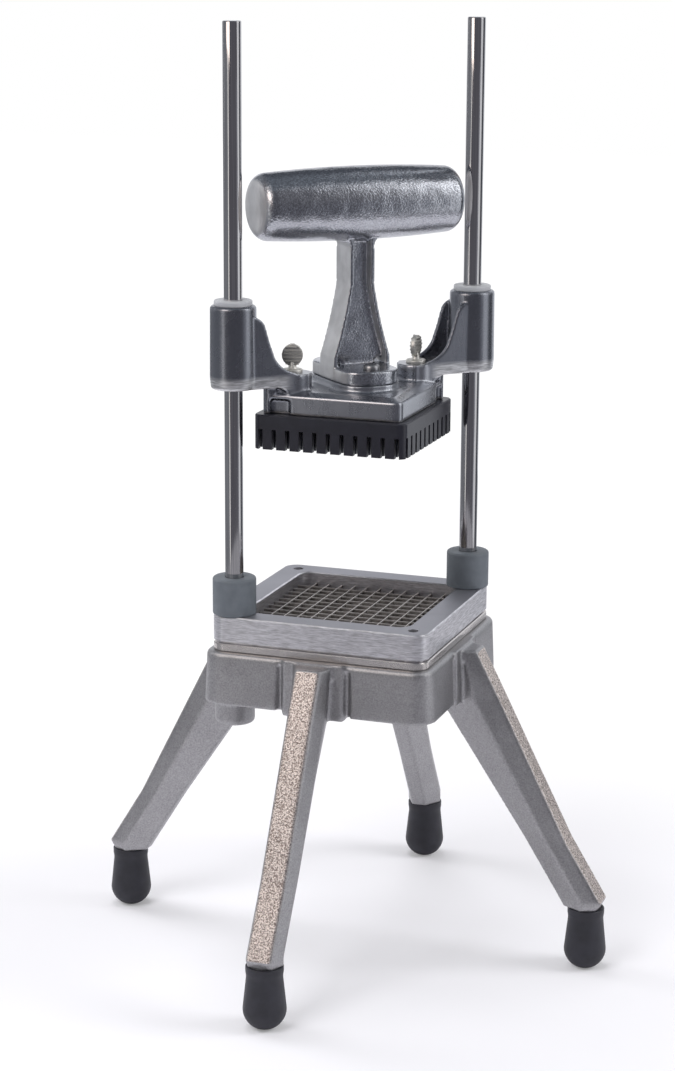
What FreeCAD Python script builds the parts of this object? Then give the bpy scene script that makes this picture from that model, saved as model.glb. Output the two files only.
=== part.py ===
import FreeCAD, Part
import math
import os
import re
import Sketcher

# Hand-operated french fry cutter: a square blade grid on a four-legged cast base,
# and a toothed pusher that a T-handle drives down two guide rods.
# Millimetres, +Z up, origin on the floor at the centre of the square base.
# The guide rods stand on one diagonal of the square, the legs at the middle of its sides.

DRIVING_SIZES = (
    ("rod_radius", 6.35, "guide rods are half-inch bar"),
    ("rod_offset", 64.63, "rod axis from the centre, along X and along Y"),
    ("rod_foot", 187.0, "lower end of the rods, inside the rod bosses"),
    ("rod_top", 655.7, "upper end of the rods"),
    ("rod_clearance", 0.1, "radial clearance of a rod in a fixed piece"),
    ("running_clearance", 0.05, "radial clearance of a rod in a bushing"),
    ("rod_edge", 0.8, "broken edge of a rod's upper end"),
    ("overlap", 1.0, "how far a raised piece reaches into the one under it"),
    ("past", 5.0, "how far a cut runs out past the metal"),
    ("frame_half", 78.0, "half width of the blade frame and the seat plate"),
    ("frame_corner", 10.0, "outer corner radius of the blade frame and the seat plate"),
    ("frame_top", 252.7, "top face of the blade frame"),
    ("frame_bottom", 235.0, "underside of the blade frame's rim"),
    ("frame_land_inset", 3.0, "how far the land under the blade frame is set in"),
    ("mouth_half", 60.0, "half width of the square opening"),
    ("mouth_corner", 8.5, "corner radius of the square opening"),
    ("frame_edge", 0.8, "broken edge of the blade frame"),
    ("seat_top", 233.1, "top face of the seat plate"),
    ("seat_edge", 0.6, "broken edge of the seat plate"),
    ("casting_top", 227.8, "top face of the base casting"),
    ("casting_bottom", 191.0, "lower edge of the base casting's walls"),
    ("casting_half", 84.0, "half width of the base casting at its lower edge"),
    ("casting_corner", 15.0, "corner radius of the base casting"),
    ("casting_draft", 2.6, "draft of the base casting's walls, in degrees"),
    ("casting_wall", 7.0, "wall thickness of the base casting"),
    ("casting_deck", 8.5, "thickness of the base casting's deck"),
    ("casting_round", 3.2, "rounding of the base casting's top edge"),
    ("pilaster_half", 22.5, "half width of the thick stretch of wall that carries a leg"),
    ("pilaster_bottom", 188.0, "lower edge of that stretch"),
    ("pilaster_proud", 0.6, "how far that stretch stands proud of the wall"),
    ("pilaster_depth", 14.0, "how far that stretch reaches inwards"),
    ("pilaster_draft", 1.0, "its draft, in degrees"),
    ("groove_width", 4.0, "groove between that stretch and the corner wall"),
    ("groove_depth", 3.4, "depth of that groove"),
    ("rod_boss_radius", 14.0, "boss that holds a rod"),
    ("rod_boss_bottom", 174.0, "lower face of that boss"),
    ("rod_boss_edge", 1.8, "broken lower edge of that boss"),
    ("screw_boss_radius", 8.0, "boss for a frame screw"),
    ("screw_boss_depth", 24.0, "lower end of that boss below the casting's top"),
    ("screw_tap_depth", 18.0, "depth of its tapped hole"),
    ("leg_top", 225.8, "height of the top of a leg"),
    ("leg_knee", 93.0, "height where a leg turns outwards"),
    ("leg_hem", 50.5, "height where the end of a leg begins to draw in"),
    ("leg_bottom", 44.8, "height of the lower end of a leg"),
    ("leg_outer_top", 94.4, "outer face of a leg from the centre, at its top"),
    ("leg_outer_wall", 112.4, "the same at the lower edge of the base casting"),
    ("leg_outer_knee", 161.8, "the same at the knee"),
    ("leg_outer_hem", 188.0, "the same just above the lower end"),
    ("leg_outer_bottom", 184.6, "the same at the lower end"),
    ("leg_inner_wall", 64.2, "inner face of a leg at the lower edge of the base casting"),
    ("leg_inner_knee", 130.0, "the same at the knee"),
    ("leg_inner_hem", 156.6, "the same just above the lower end"),
    ("leg_inner_bottom", 160.0, "the same at the lower end"),
    ("leg_strip_half", 8.0, "half width of the flat strip down the outside of a leg"),
    ("leg_ridge_half", 13.2, "half width of a leg at its side ridge"),
    ("leg_inner_half", 5.6, "half width of a leg's inner face"),
    ("leg_break_aside", 1.3, "broken edge of that strip, measured aside"),
    ("leg_break_inward", 1.6, "the same, measured inwards"),
    ("leg_ridge_top", 9.0, "side ridge from the outer face of a leg, at its top"),
    ("leg_ridge_wall", 18.0, "the same at the lower edge of the base casting"),
    ("leg_ridge_knee", 14.0, "the same from the knee down"),
    ("leg_ridge_bottom", 11.0, "the same at the lower end"),
    ("leg_depth_top", 20.0, "depth of a leg at its top"),
    ("foot_offset", 175.1, "foot axis from the centre"),
    ("foot_radius", 14.8, "foot at its widest"),
    ("foot_swell_z", 13.93, "height of the widest part of a foot"),
    ("foot_flat", 5.0, "radius of the flat that a foot stands on"),
    ("foot_neck", 12.3, "foot under its rim"),
    ("foot_rim", 12.9, "rim of a foot"),
    ("foot_height", 44.5, "height of a foot"),
    ("foot_socket", 14.0, "height of the bottom of a foot's socket"),
    ("foot_neck_drop", 7.0, "lower end of a foot's neck, below its upper end"),
    ("foot_rim_height", 4.5, "height of a foot's rim"),
    ("stub_gap", 0.3, "gap under a stub, in its socket"),
    ("stub_clearance", 0.1, "radial clearance of a stub in its foot"),
    ("stub_radius", 10.4, "round stub of a leg inside its foot"),
    ("bumper_radius", 15.1, "rubber bumper on a rod"),
    ("bumper_height", 25.9, "height of a bumper"),
    ("bumper_edge", 0.8, "broken edges of a bumper"),
    ("cell_pitch", 9.8, "pitch of the blades and of the pusher's teeth"),
    ("blade_count", 11.0, "blades each way"),
    ("blade_thick", 0.5, "thickness of a blade"),
    ("blade_top", 245.0, "cutting edge of the blades"),
    ("blade_half", 63.4, "half length of a blade"),
    ("blade_slot_half", 64.0, "reach of the blade slots in the frame"),
    ("blade_slot_width", 0.9, "width of a blade slot"),
    ("blade_slot_gap", 0.2, "gap above a blade in its slot"),
    ("notch_clearance", 0.05, "clearance of a blade in a notch"),
    ("frame_screw_offset", 66.0, "frame screw from the centre, along X and along Y"),
    ("screw_head_radius", 3.4, "head of a frame screw"),
    ("screw_head_height", 4.0, "height of that head"),
    ("screw_head_sink", 4.0, "how deep that head lies"),
    ("screw_radius", 2.0, "shank of a frame screw"),
    ("screw_reach", 14.0, "reach of a frame screw into the base casting"),
    ("screw_head_clearance", 0.2, "radial clearance of its head"),
    ("way_clearance", 0.3, "radial clearance of a screw in the hole it passes through"),
    ("tap_clearance", 0.05, "radial clearance of a screw in its tapped hole"),
    ("screw_key_half", 1.5, "half width of its hexagon socket"),
    ("screw_key_depth", 2.0, "depth of that socket"),
    ("rod_screw_radius", 4.0, "shank of the screw that holds a rod"),
    ("rod_screw_head", 7.4, "corner radius of that screw's head"),
    ("rod_screw_sink", 5.0, "depth of the recess for that head"),
    ("rod_screw_head_clearance", 0.5, "radial clearance of that head"),
    ("rod_screw_head_height", 4.5, "height of that head"),
    ("rod_screw_tap", 13.0, "depth of the tapped hole in the rod"),
    ("rod_screw_grip", 11.0, "length of that screw inside the rod"),
    ("sleeve_radius", 16.1, "outside of the sleeve round a rod"),
    ("sleeve_bottom", 410.5, "lower end of a sleeve"),
    ("sleeve_parting", 418.5, "parting line of the pusher casting"),
    ("sleeve_edge", 1.8, "rounded ends of a sleeve, measured inwards"),
    ("sleeve_edge_height", 1.5, "height of its upper rounding"),
    ("sleeve_land", 0.7, "how far the band under the parting line is set in"),
    ("sleeve_land_height", 1.1, "height of its lower rounding"),
    ("sleeve_taper", 0.3, "how far a sleeve narrows to its upper end"),
    ("sleeve_top", 467.5, "upper end of a sleeve"),
    ("bushing_radius", 9.5, "body of a bushing"),
    ("bushing_flange", 13.1, "flange of an upper bushing"),
    ("bushing_proud", 3.5, "thickness of that flange"),
    ("bushing_length", 20.0, "length of a bushing in its sleeve"),
    ("bushing_edge", 0.8, "broken edge of that flange"),
    ("bushing_sink", 0.6, "how deep a lower bushing lies in its sleeve"),
    ("head_half", 54.7, "half width of the toothed head"),
    ("head_corner", 6.0, "corner radius of the toothed head"),
    ("head_top", 391.5, "top face of the toothed head"),
    ("tooth_tip", 367.5, "lower ends of the teeth"),
    ("tooth_root", 381.5, "bottom of the slots between the teeth"),
    ("tooth_gap", 3.2, "width of those slots"),
    ("head_edge", 0.8, "broken upper edge of the toothed head"),
    ("thumb_tap_floor", 1.0, "metal left under the tapped hole of a thumb screw"),
    ("cap_half", 50.3, "half width of the pusher casting above the head"),
    ("cap_corner", 5.5, "corner radius of the pusher casting"),
    ("cap_shoulder", 404.8, "top of its upright walls"),
    ("cap_top", 407.2, "its flat top"),
    ("cap_top_half", 42.6, "half width of that flat top"),
    ("cap_niche_depth", 3.0, "depth of the niches beside the arm corners"),
    ("cap_niche_start", 29.6, "start of a niche from the centre"),
    ("cap_niche_end", 43.8, "end of a niche from the centre"),
    ("cap_niche_top", 402.0, "top of a niche"),
    ("arm_half", 13.0, "half width of an arm"),
    ("arm_rib", 3.4, "thickness of an arm's side ribs"),
    ("arm_root", 40.0, "inner end of an arm, along the diagonal"),
    ("arm_sink", 4.0, "how far an arm reaches down into the cap"),
    ("arm_foot_round", 22.0, "sweep of a rib where it runs out towards the cap"),
    ("channel_stop", 4.0, "end of the channel in an arm, short of the rod's axis"),
    ("arm_bend_low", 55.0, "where its underside meets the cap"),
    ("arm_bend_high", 63.5, "where its underside comes level"),
    ("arm_bend_round", 10.0, "radius of the bend between the two"),
    ("channel_start", 57.0, "inner end of the channel in an arm"),
    ("channel_sink", 2.5, "floor of that channel below the thumb screw's seat"),
    ("seat_start", 38.0, "inner end of the level seat for a thumb screw"),
    ("seat_end", 58.0, "outer end of that seat"),
    ("thumb_offset", 33.6, "thumb screw axis from the centre, along X and along Y"),
    ("thumb_boss_radius", 13.4, "boss under a thumb screw"),
    ("thumb_seat", 418.5, "top of that boss"),
    ("thumb_shank", 3.0, "shank of a thumb screw"),
    ("thumb_hole", 3.3, "hole for that shank"),
    ("thumb_flange", 7.0, "radius of a thumb screw's flange"),
    ("thumb_reach", 8.0, "reach of a thumb screw into the toothed head"),
    ("thumb_flange_rim", 1.6, "height of the flange's rim"),
    ("thumb_flange_top", 2.4, "height of the flange"),
    ("thumb_flange_edge", 0.8, "broken edge of the flange"),
    ("thumb_neck", 3.2, "neck of a thumb screw above its flange"),
    ("thumb_neck_middle", 2.6, "the same half way up"),
    ("thumb_neck_half", 5.5, "height of that middle above the seat"),
    ("thumb_neck_end", 1.4, "its end inside the paddle"),
    ("thumb_neck_top", 9.0, "height of that end above the seat"),
    ("paddle_middle", 432.0, "height of the middle of the paddle"),
    ("paddle_thick", 3.0, "thickness of the paddle"),
    ("paddle_flat_half", 5.44, "half width of the paddle where its round sides begin"),
    ("paddle_side_half", 4.68, "half height of its round sides"),
    ("paddle_side_round", 7.48, "radius of its round sides"),
    ("paddle_top_round", 6.46, "radius of its round top"),
    ("paddle_foot_half", 2.4, "half width of the paddle at its foot"),
    ("paddle_foot", 3.0, "foot of the paddle above the seat"),
    ("base_half_across", 21.0, "half width of the handle's oblong base, towards the rods"),
    ("base_half_along", 37.5, "half length of that base"),
    ("base_corner", 17.0, "corner radius of that base"),
    ("base_bottom", 411.7, "underside of that base"),
    ("base_top", 421.2, "top of that base"),
    ("base_edge", 1.0, "broken upper edge of that base"),
    ("base_margin", 0.8, "how far the low step under the base stands out"),
    ("handle_screw_offset", 26.5, "handle screw from the centre, along the base"),
    ("handle_screw_head", 5.6, "pan head of a handle screw"),
    ("handle_screw_radius", 2.5, "shank of a handle screw"),
    ("handle_screw_reach", 12.0, "reach of a handle screw below the base"),
    ("handle_tap_floor", 6.0, "metal left under its tapped hole"),
    ("handle_screw_clearance", 0.2, "radial clearance of its shank in the base"),
    ("pan_rim", 1.8, "height of the pan head's straight rim"),
    ("pan_shoulder", 3.2, "height of its shoulder"),
    ("pan_height", 3.9, "its whole height"),
    ("pan_shoulder_inset", 1.2, "how far its shoulder is set in"),
    ("pan_flat_inset", 3.0, "how far its flat top is set in"),
    ("stem_depth_half", 11.5, "half depth of the stem across its flanges"),
    ("stem_waist_half", 9.1, "half width of the stem at its waist"),
    ("stem_waist_z", 478.0, "lower end of the waist"),
    ("stem_foot_z", 428.0, "height where the stem's sides turn down to the base"),
    ("stem_foot_half", 21.2, "half width of the stem there"),
    ("stem_proud", 0.6, "how far the stem's flanges stand out from the base's sides"),
    ("stem_sweep", 330.0, "radius of the stem's curved sides"),
    ("stem_top_round", 7.0, "radius of the bend between stem and grip"),
    ("stem_top_spread", 5.0, "how far that bend reaches aside"),
    ("web_half", 4.5, "half thickness of the stem's web"),
    ("web_inset", 1.0, "how far the web stays inside the flanges' outer sides"),
    ("web_sink", 6.0, "how far the web reaches into the grip"),
    ("flange_sink", 3.0, "how far a flange reaches into the grip"),
    ("flange_thick", 2.8, "thickness of the stem's flanges"),
    ("grip_z", 532.3, "axis of the grip"),
    ("grip_half", 75.3, "half length of the grip"),
    ("grip_radius", 25.4, "grip at its middle"),
    ("grip_end_radius", 22.5, "grip at its ends"),
    ("grip_end_round", 8.5, "rounding of the grip's ends"),
    ("grip_end_lift", 0.5, "rise of the barrel across that rounding"),
)

ROD_CORNERS = {"left": -1, "right": 1}
LEG_BEARINGS = {"right": 0, "back": 90, "left": 180, "front": 270}
DIAGONAL = 45
PADDLE_BEARINGS = {"left": 15, "right": 80}

doc = FreeCAD.newDocument("fry_cutter")
sheet = doc.addObject("Spreadsheet::Sheet", "sizes")


def fill_sheet():
    """Write one row for each driving size: name, value and meaning."""
    for row, (alias, size, meaning) in enumerate(DRIVING_SIZES, start=1):
        sheet.set(f"A{row}", alias)
        sheet.set(f"B{row}", str(size))
        sheet.set(f"C{row}", meaning)
        sheet.setAlias(f"B{row}", alias)
    doc.recompute()


def cells(text):
    """Turn each driving size named in an expression into a reference to its cell."""
    names = {alias for alias, size, meaning in DRIVING_SIZES}
    return re.sub(r"[a-z_]+", lambda word: f"sizes.{word[0]}" if word[0] in names else word[0], text)


def value(text):
    """The number that an expression of driving sizes has now."""
    return float(doc.sizes.evalExpression(cells(text)))


def bind(item, **texts):
    """Bind properties of an object to expressions of driving sizes."""
    for name, text in texts.items():
        item.setExpression(name, cells(text))


def new_body(label):
    """An empty body, which may hold several separate solids."""
    body = doc.addObject("PartDesign::Body", label)
    body.Label = label
    body.AllowCompound = True
    return body


def origin(body, role):
    """One of the body's own origin planes or axes."""
    return next(item for item in body.Origin.OriginFeatures if item.Role == role)


def turned_by(axis, angle):
    """A placement that only turns about an axis, in degrees."""
    return FreeCAD.Placement(FreeCAD.Vector(), FreeCAD.Rotation(axis, angle))


def sketch(body, name, height="0", turn=0):
    """A level sketch, lifted by height and turned about Z."""
    flat = body.newObject("Sketcher::SketchObject", name)
    flat.AttachmentSupport = [(origin(body, "XY_Plane"), "")]
    flat.MapMode = "FlatFace"
    flat.AttachmentOffset = turned_by(FreeCAD.Vector(0, 0, 1), turn)
    bind(flat, **{"AttachmentOffset.Base.z": height})
    return flat


def upright_sketch(body, name, height="0", turn=0, along="0"):
    """An upright sketch, lifted by height, turned about Z and slid along its own X; its Y is up."""
    flat = body.newObject("Sketcher::SketchObject", name)
    flat.AttachmentSupport = [(origin(body, "XZ_Plane"), "")]
    flat.MapMode = "FlatFace"
    flat.AttachmentOffset = turned_by(FreeCAD.Vector(0, 1, 0), turn)
    bind(flat, **{
        "AttachmentOffset.Base.x": f"( {along} ) * {math.cos(math.radians(turn)):.6f}",
        "AttachmentOffset.Base.y": height,
        "AttachmentOffset.Base.z": f"( {along} ) * {-math.sin(math.radians(turn)):.6f}",
    })
    return flat


def pin(flat, shape, end, spot):
    """Hold one end of a sketch line at a spot, a pair of expressions."""
    for kind, text in zip(("DistanceX", "DistanceY"), spot):
        index = flat.addConstraint(Sketcher.Constraint(kind, -1, 1, shape, end, value(text)))
        flat.setExpression(f"Constraints[{index}]", cells(text))


def outline(flat, corners, arcs=None):
    """A closed outline through corners; arcs maps a side's number to its radius and bulge side."""
    arcs = arcs or {}
    count = len(corners)
    first = flat.GeometryCount
    spots = [FreeCAD.Vector(value(x), value(y), 0) for x, y in corners]
    starts = []
    for side in range(count):
        here = spots[side]
        there = spots[(side + 1) % count]
        starts.append(1)
        if side not in arcs:
            flat.addGeometry(Part.LineSegment(here, there), False)
            continue
        radius_text, bulge = arcs[side]
        radius = value(radius_text)
        chord = there - here
        rise = radius - math.sqrt(radius ** 2 - chord.Length ** 2 / 4)
        outward = FreeCAD.Vector(chord.y, -chord.x, 0).normalize() * (rise * bulge)
        flat.addGeometry(Part.Arc(here, (here + there) * 0.5 + outward, there), False)
        if (flat.getPoint(first + side, 1) - here).Length > (flat.getPoint(first + side, 2) - here).Length:
            starts[side] = 2
    for side in range(count):
        after = (side + 1) % count
        flat.addConstraint(Sketcher.Constraint(
            "Coincident", first + side, 3 - starts[side], first + after, starts[after]))
        pin(flat, first + side, starts[side], corners[side])
    for side, (radius_text, bulge) in arcs.items():
        index = flat.addConstraint(Sketcher.Constraint("Radius", first + side, value(radius_text)))
        flat.setExpression(f"Constraints[{index}]", cells(radius_text))
    return flat


def box_outline(flat, x_low, x_high, y_low, y_high):
    """A rectangle between two pairs of limits."""
    return outline(flat, ((x_low, y_low), (x_high, y_low), (x_high, y_high), (x_low, y_high)))


def circle(flat, radius, x="0", y="0"):
    """A circle about a spot."""
    middle = FreeCAD.Vector(value(x), value(y), 0)
    upward = FreeCAD.Vector(0, 0, 1)
    index = flat.addGeometry(Part.Circle(middle, upward, value(radius)), False)
    pin(flat, index, 3, (x, y))
    limit = flat.addConstraint(Sketcher.Constraint("Radius", index, value(radius)))
    flat.setExpression(f"Constraints[{limit}]", cells(radius))
    return flat


def pad(body, flat, name, length, both_ways=False, draft="0", down=False):
    """Raise a sketch into a solid."""
    made = body.newObject("PartDesign::Pad", name)
    made.Profile = flat
    made.SideType = "Symmetric" if both_ways else "One side"
    made.Reversed = down
    bind(made, Length=length, TaperAngle=draft)
    doc.recompute()
    return made


def pocket(body, flat, name, length, both_ways=False, up=False):
    """Cut a sketch out of the body, and make sure that the cut removed something."""
    before = body.Shape.Volume
    made = body.newObject("PartDesign::Pocket", name)
    made.Profile = flat
    made.SideType = "Symmetric" if both_ways else "One side"
    made.Reversed = up
    bind(made, Length=length)
    doc.recompute()
    if body.Shape.Volume > before - 0.01:
        raise RuntimeError(f"{body.Label}: {name} cut nothing")
    return made


def revolve(body, flat, name, axis="V_Axis"):
    """Turn a sketch once round one of its own axes."""
    made = body.newObject("PartDesign::Revolution", name)
    made.Profile = flat
    made.ReferenceAxis = (flat, [axis])
    made.Angle = 360
    doc.recompute()
    return made


def loft(body, name, sections):
    """A ruled loft through sketches."""
    made = body.newObject("PartDesign::AdditiveLoft", name)
    made.Profile = sections[0]
    made.Sections = sections[1:]
    made.Ruled = True
    doc.recompute()
    return made


def row_of(body, features, name, direction, length, count):
    """Repeat features in a straight row along one of the body's axes."""
    made = body.newObject("PartDesign::LinearPattern", name)
    made.Originals = features
    made.Direction = (origin(body, direction), [""])
    bind(made, Length=length, Occurrences=count)
    body.Tip = made
    doc.recompute()
    return made


def ring_of(body, features, name, count):
    """Repeat features evenly round the body's Z axis."""
    made = body.newObject("PartDesign::PolarPattern", name)
    made.Originals = features
    made.Axis = (origin(body, "Z_Axis"), [""])
    made.Angle = 360
    made.Occurrences = count
    body.Tip = made
    doc.recompute()
    return made


def edge_names(body, wanted):
    """Names of the edges of the body whose middle point passes a test."""
    names = []
    for number, edge in enumerate(body.Shape.Edges, start=1):
        middle = edge.valueAt((edge.FirstParameter + edge.LastParameter) / 2)
        if wanted(edge, middle):
            names.append(f"Edge{number}")
    return names


def soften(body, name, size, wanted, kind="Fillet"):
    """Round or chamfer the edges that pass a test."""
    base = body.Tip
    names = edge_names(body, wanted)
    if not names:
        raise RuntimeError(f"{body.Label}: {name} found no edge")
    made = body.newObject(f"PartDesign::{kind}", name)
    made.Base = (base, names)
    bind(made, **{"Radius" if kind == "Fillet" else "Size": size})
    doc.recompute()
    return made


def at_height(text, near=0.02):
    """A test for edges that lie level at a height."""
    level = value(text)
    return lambda edge, middle: abs(middle.z - level) < near and edge.BoundBox.ZLength < near


def rounded_square(flat, half, corner):
    """A square with round corners about the sketch's origin."""
    return rounded_box(flat, half, half, corner)


def rounded_box(flat, half_x, half_y, corner):
    """A rectangle with round corners about the sketch's origin."""
    near_x = f"( {half_x} ) - ( {corner} )"
    near_y = f"( {half_y} ) - ( {corner} )"
    spots = (
        (near_x, f"-( {half_y} )"),
        (half_x, f"-( {near_y} )"),
        (half_x, near_y),
        (near_x, half_y),
        (f"-( {near_x} )", half_y),
        (f"-( {half_x} )", near_y),
        (f"-( {half_x} )", f"-( {near_y} )"),
        (f"-( {near_x} )", f"-( {half_y} )"),
    )
    return outline(flat, spots, {side: (corner, 1) for side in (0, 2, 4, 6)})


def corner_circles(flat, radius, offset, signs=((-1, -1), (1, 1))):
    """Circles on the corners of a square, by default on the rods' diagonal."""
    for across, along in signs:
        circle(flat, radius, f"{across} * ( {offset} )", f"{along} * ( {offset} )")
    return flat


def to_corner(body, side, offset):
    """Move a body to its own corner on the rods' diagonal."""
    spot = f"{ROD_CORNERS[side]} * {offset}"
    bind(body, **{"Placement.Base.x": spot, "Placement.Base.y": spot})


SCREW_CORNERS = ((-1, 1), (1, -1))
ROD_REACH = f"rod_offset * {math.sqrt(2):.6f}"
THUMB_REACH = f"thumb_offset * {math.sqrt(2):.6f}"
CELL_SPAN = "cell_pitch * ( blade_count - 1 )"
FIRST_CELL_LINE = f"{CELL_SPAN} / 2"
HEAD_ACROSS = f"rod_screw_head * {math.cos(math.pi / 6):.6f}"


def leg_section(body, name, height, outer, ridge, inner):
    """One level section of the right leg: flat strip outside, ridge each side, narrow inside."""
    shoulder = "leg_strip_half + leg_break_aside"
    broken = f"{outer} - leg_break_inward"
    corners = (
        (inner, "-leg_inner_half"),
        (ridge, "-leg_ridge_half"),
        (broken, f"-( {shoulder} )"),
        (outer, "-leg_strip_half"),
        (outer, "leg_strip_half"),
        (broken, shoulder),
        (ridge, "leg_ridge_half"),
        (inner, "leg_inner_half"),
    )
    return outline(sketch(body, name, height=height), corners)


def make_base_casting():
    """The square frame with its four legs, two rod bosses and leg stubs, cast in one piece."""
    body = new_body("base_casting")
    walls = rounded_square(sketch(body, "wall_outline", height="casting_bottom"),
                           "casting_half", "casting_corner")
    pad(body, walls, "walls", "casting_top - casting_bottom", draft="-casting_draft")
    soften(body, "top_rounding", "casting_round", at_height("casting_top"))

    pilaster = box_outline(sketch(body, "pilaster_outline", height="pilaster_bottom"),
                           "casting_half - pilaster_depth", "casting_half + pilaster_proud",
                           "-pilaster_half", "pilaster_half")
    block = pad(body, pilaster, "pilaster", "casting_top - pilaster_bottom", draft="-pilaster_draft")
    ring_of(body, [block], "pilasters", 4)

    hollow = rounded_square(sketch(body, "hollow_outline", height="pilaster_bottom"),
                            "casting_half - casting_wall", "casting_corner - casting_wall")
    pocket(body, hollow, "hollow", "casting_top - casting_deck - pilaster_bottom", up=True)
    mouth = rounded_square(sketch(body, "mouth_outline", height="casting_top"), "mouth_half", "mouth_corner")
    pocket(body, mouth, "mouth", "casting_deck")

    grooves = sketch(body, "groove_outline", height="casting_top - casting_round - pilaster_proud")
    for side in (-1, 1):
        near = f"{side} * pilaster_half"
        far = f"{side} * ( pilaster_half + groove_width )"
        box_outline(grooves, "casting_half - groove_depth", "casting_half + past", *((near, far)[::side]))
    cut = pocket(body, grooves, "groove_pair", "casting_top - casting_round - pilaster_bottom")
    ring_of(body, [cut], "grooves", 4)

    levels = (
        ("top", "leg_top", "leg_outer_top", "leg_ridge_top", "leg_outer_top - leg_depth_top"),
        ("wall", "casting_bottom", "leg_outer_wall", "leg_ridge_wall", "leg_inner_wall"),
        ("knee", "leg_knee", "leg_outer_knee", "leg_ridge_knee", "leg_inner_knee"),
        ("hem", "leg_hem", "leg_outer_hem", "leg_ridge_knee", "leg_inner_hem"),
        ("bottom", "leg_bottom", "leg_outer_bottom", "leg_ridge_bottom", "leg_inner_bottom"),
    )
    leg = loft(body, "leg", [
        leg_section(body, f"leg_at_{name}", height, outer, f"{outer} - {ridge}", inner)
        for name, height, outer, ridge, inner in levels
    ])
    stub_outline = circle(sketch(body, "stub_outline", height="leg_bottom + overlap"),
                          "stub_radius", "foot_offset")
    stub = pad(body, stub_outline, "stub", "leg_bottom + overlap - foot_socket - stub_gap", down=True)
    ring_of(body, [leg, stub], "legs", 4)

    bosses = corner_circles(sketch(body, "rod_boss_outline", height="rod_boss_bottom"),
                            "rod_boss_radius", "rod_offset")
    pad(body, bosses, "rod_bosses", "casting_top - casting_deck - rod_boss_bottom + overlap")
    soften(body, "rod_boss_edges", "rod_boss_edge", at_height("rod_boss_bottom"), kind="Chamfer")
    nuts = corner_circles(sketch(body, "screw_boss_outline", height="casting_top - screw_boss_depth"),
                          "screw_boss_radius", "frame_screw_offset", SCREW_CORNERS)
    pad(body, nuts, "screw_bosses", "screw_boss_depth - casting_deck + overlap")

    bores = corner_circles(sketch(body, "rod_bore_outline", height="casting_top"),
                           "rod_radius + rod_clearance", "rod_offset")
    pocket(body, bores, "rod_bores", "casting_top - rod_foot + way_clearance")
    screw_ways = corner_circles(sketch(body, "rod_screw_outline", height="rod_boss_bottom"),
                                "rod_screw_radius + way_clearance", "rod_offset")
    pocket(body, screw_ways, "rod_screw_ways", "rod_foot - rod_boss_bottom", up=True)
    sinks = corner_circles(sketch(body, "rod_screw_sink_outline", height="rod_boss_bottom"),
                           "rod_screw_head + rod_screw_head_clearance", "rod_offset")
    pocket(body, sinks, "rod_screw_sinks", "rod_screw_sink", up=True)
    taps = corner_circles(sketch(body, "frame_screw_outline", height="casting_top"),
                          "screw_radius + tap_clearance", "frame_screw_offset", SCREW_CORNERS)
    pocket(body, taps, "frame_screw_taps", "screw_tap_depth")
    return body


def make_foot(bearing):
    """A rubber foot: a blind sleeve that swells to a round heel with a small flat."""
    body = new_body(f"{bearing}_foot")
    profile = upright_sketch(body, "foot_profile")
    outline(profile, (
        ("0", "0"),
        ("foot_flat", "0"),
        ("foot_radius", "foot_swell_z"),
        ("foot_neck", "foot_height - foot_neck_drop"),
        ("foot_rim", "foot_height - foot_rim_height"),
        ("foot_rim", "foot_height"),
        ("stub_radius + stub_clearance", "foot_height"),
        ("stub_radius + stub_clearance", "foot_socket"),
        ("0", "foot_socket"),
    ), {1: ("foot_radius", 1)})
    revolve(body, profile, "foot")
    angle = math.radians(LEG_BEARINGS[bearing])
    bind(body, **{
        "Placement.Base.x": f"foot_offset * {round(math.cos(angle))}",
        "Placement.Base.y": f"foot_offset * {round(math.sin(angle))}",
    })
    return body


def make_seat_plate():
    """The polished plate between the base casting and the blade frame."""
    body = new_body("seat_plate")
    rim = rounded_square(sketch(body, "plate_outline", height="casting_top"), "frame_half", "frame_corner")
    pad(body, rim, "plate", "seat_top - casting_top")
    above, below = at_height("seat_top"), at_height("casting_top")
    soften(body, "plate_edges", "seat_edge",
           lambda edge, middle: above(edge, middle) or below(edge, middle), kind="Chamfer")
    mouth = rounded_square(sketch(body, "mouth_outline", height="seat_top"), "mouth_half", "mouth_corner")
    pocket(body, mouth, "mouth", "seat_top - casting_top")
    bores = corner_circles(sketch(body, "rod_bore_outline", height="seat_top"),
                           "rod_radius + rod_clearance", "rod_offset")
    pocket(body, bores, "rod_bores", "seat_top - casting_top")
    ways = corner_circles(sketch(body, "frame_screw_outline", height="seat_top"),
                          "screw_radius + way_clearance", "frame_screw_offset", SCREW_CORNERS)
    pocket(body, ways, "frame_screw_ways", "seat_top - casting_top")
    return body


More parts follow.
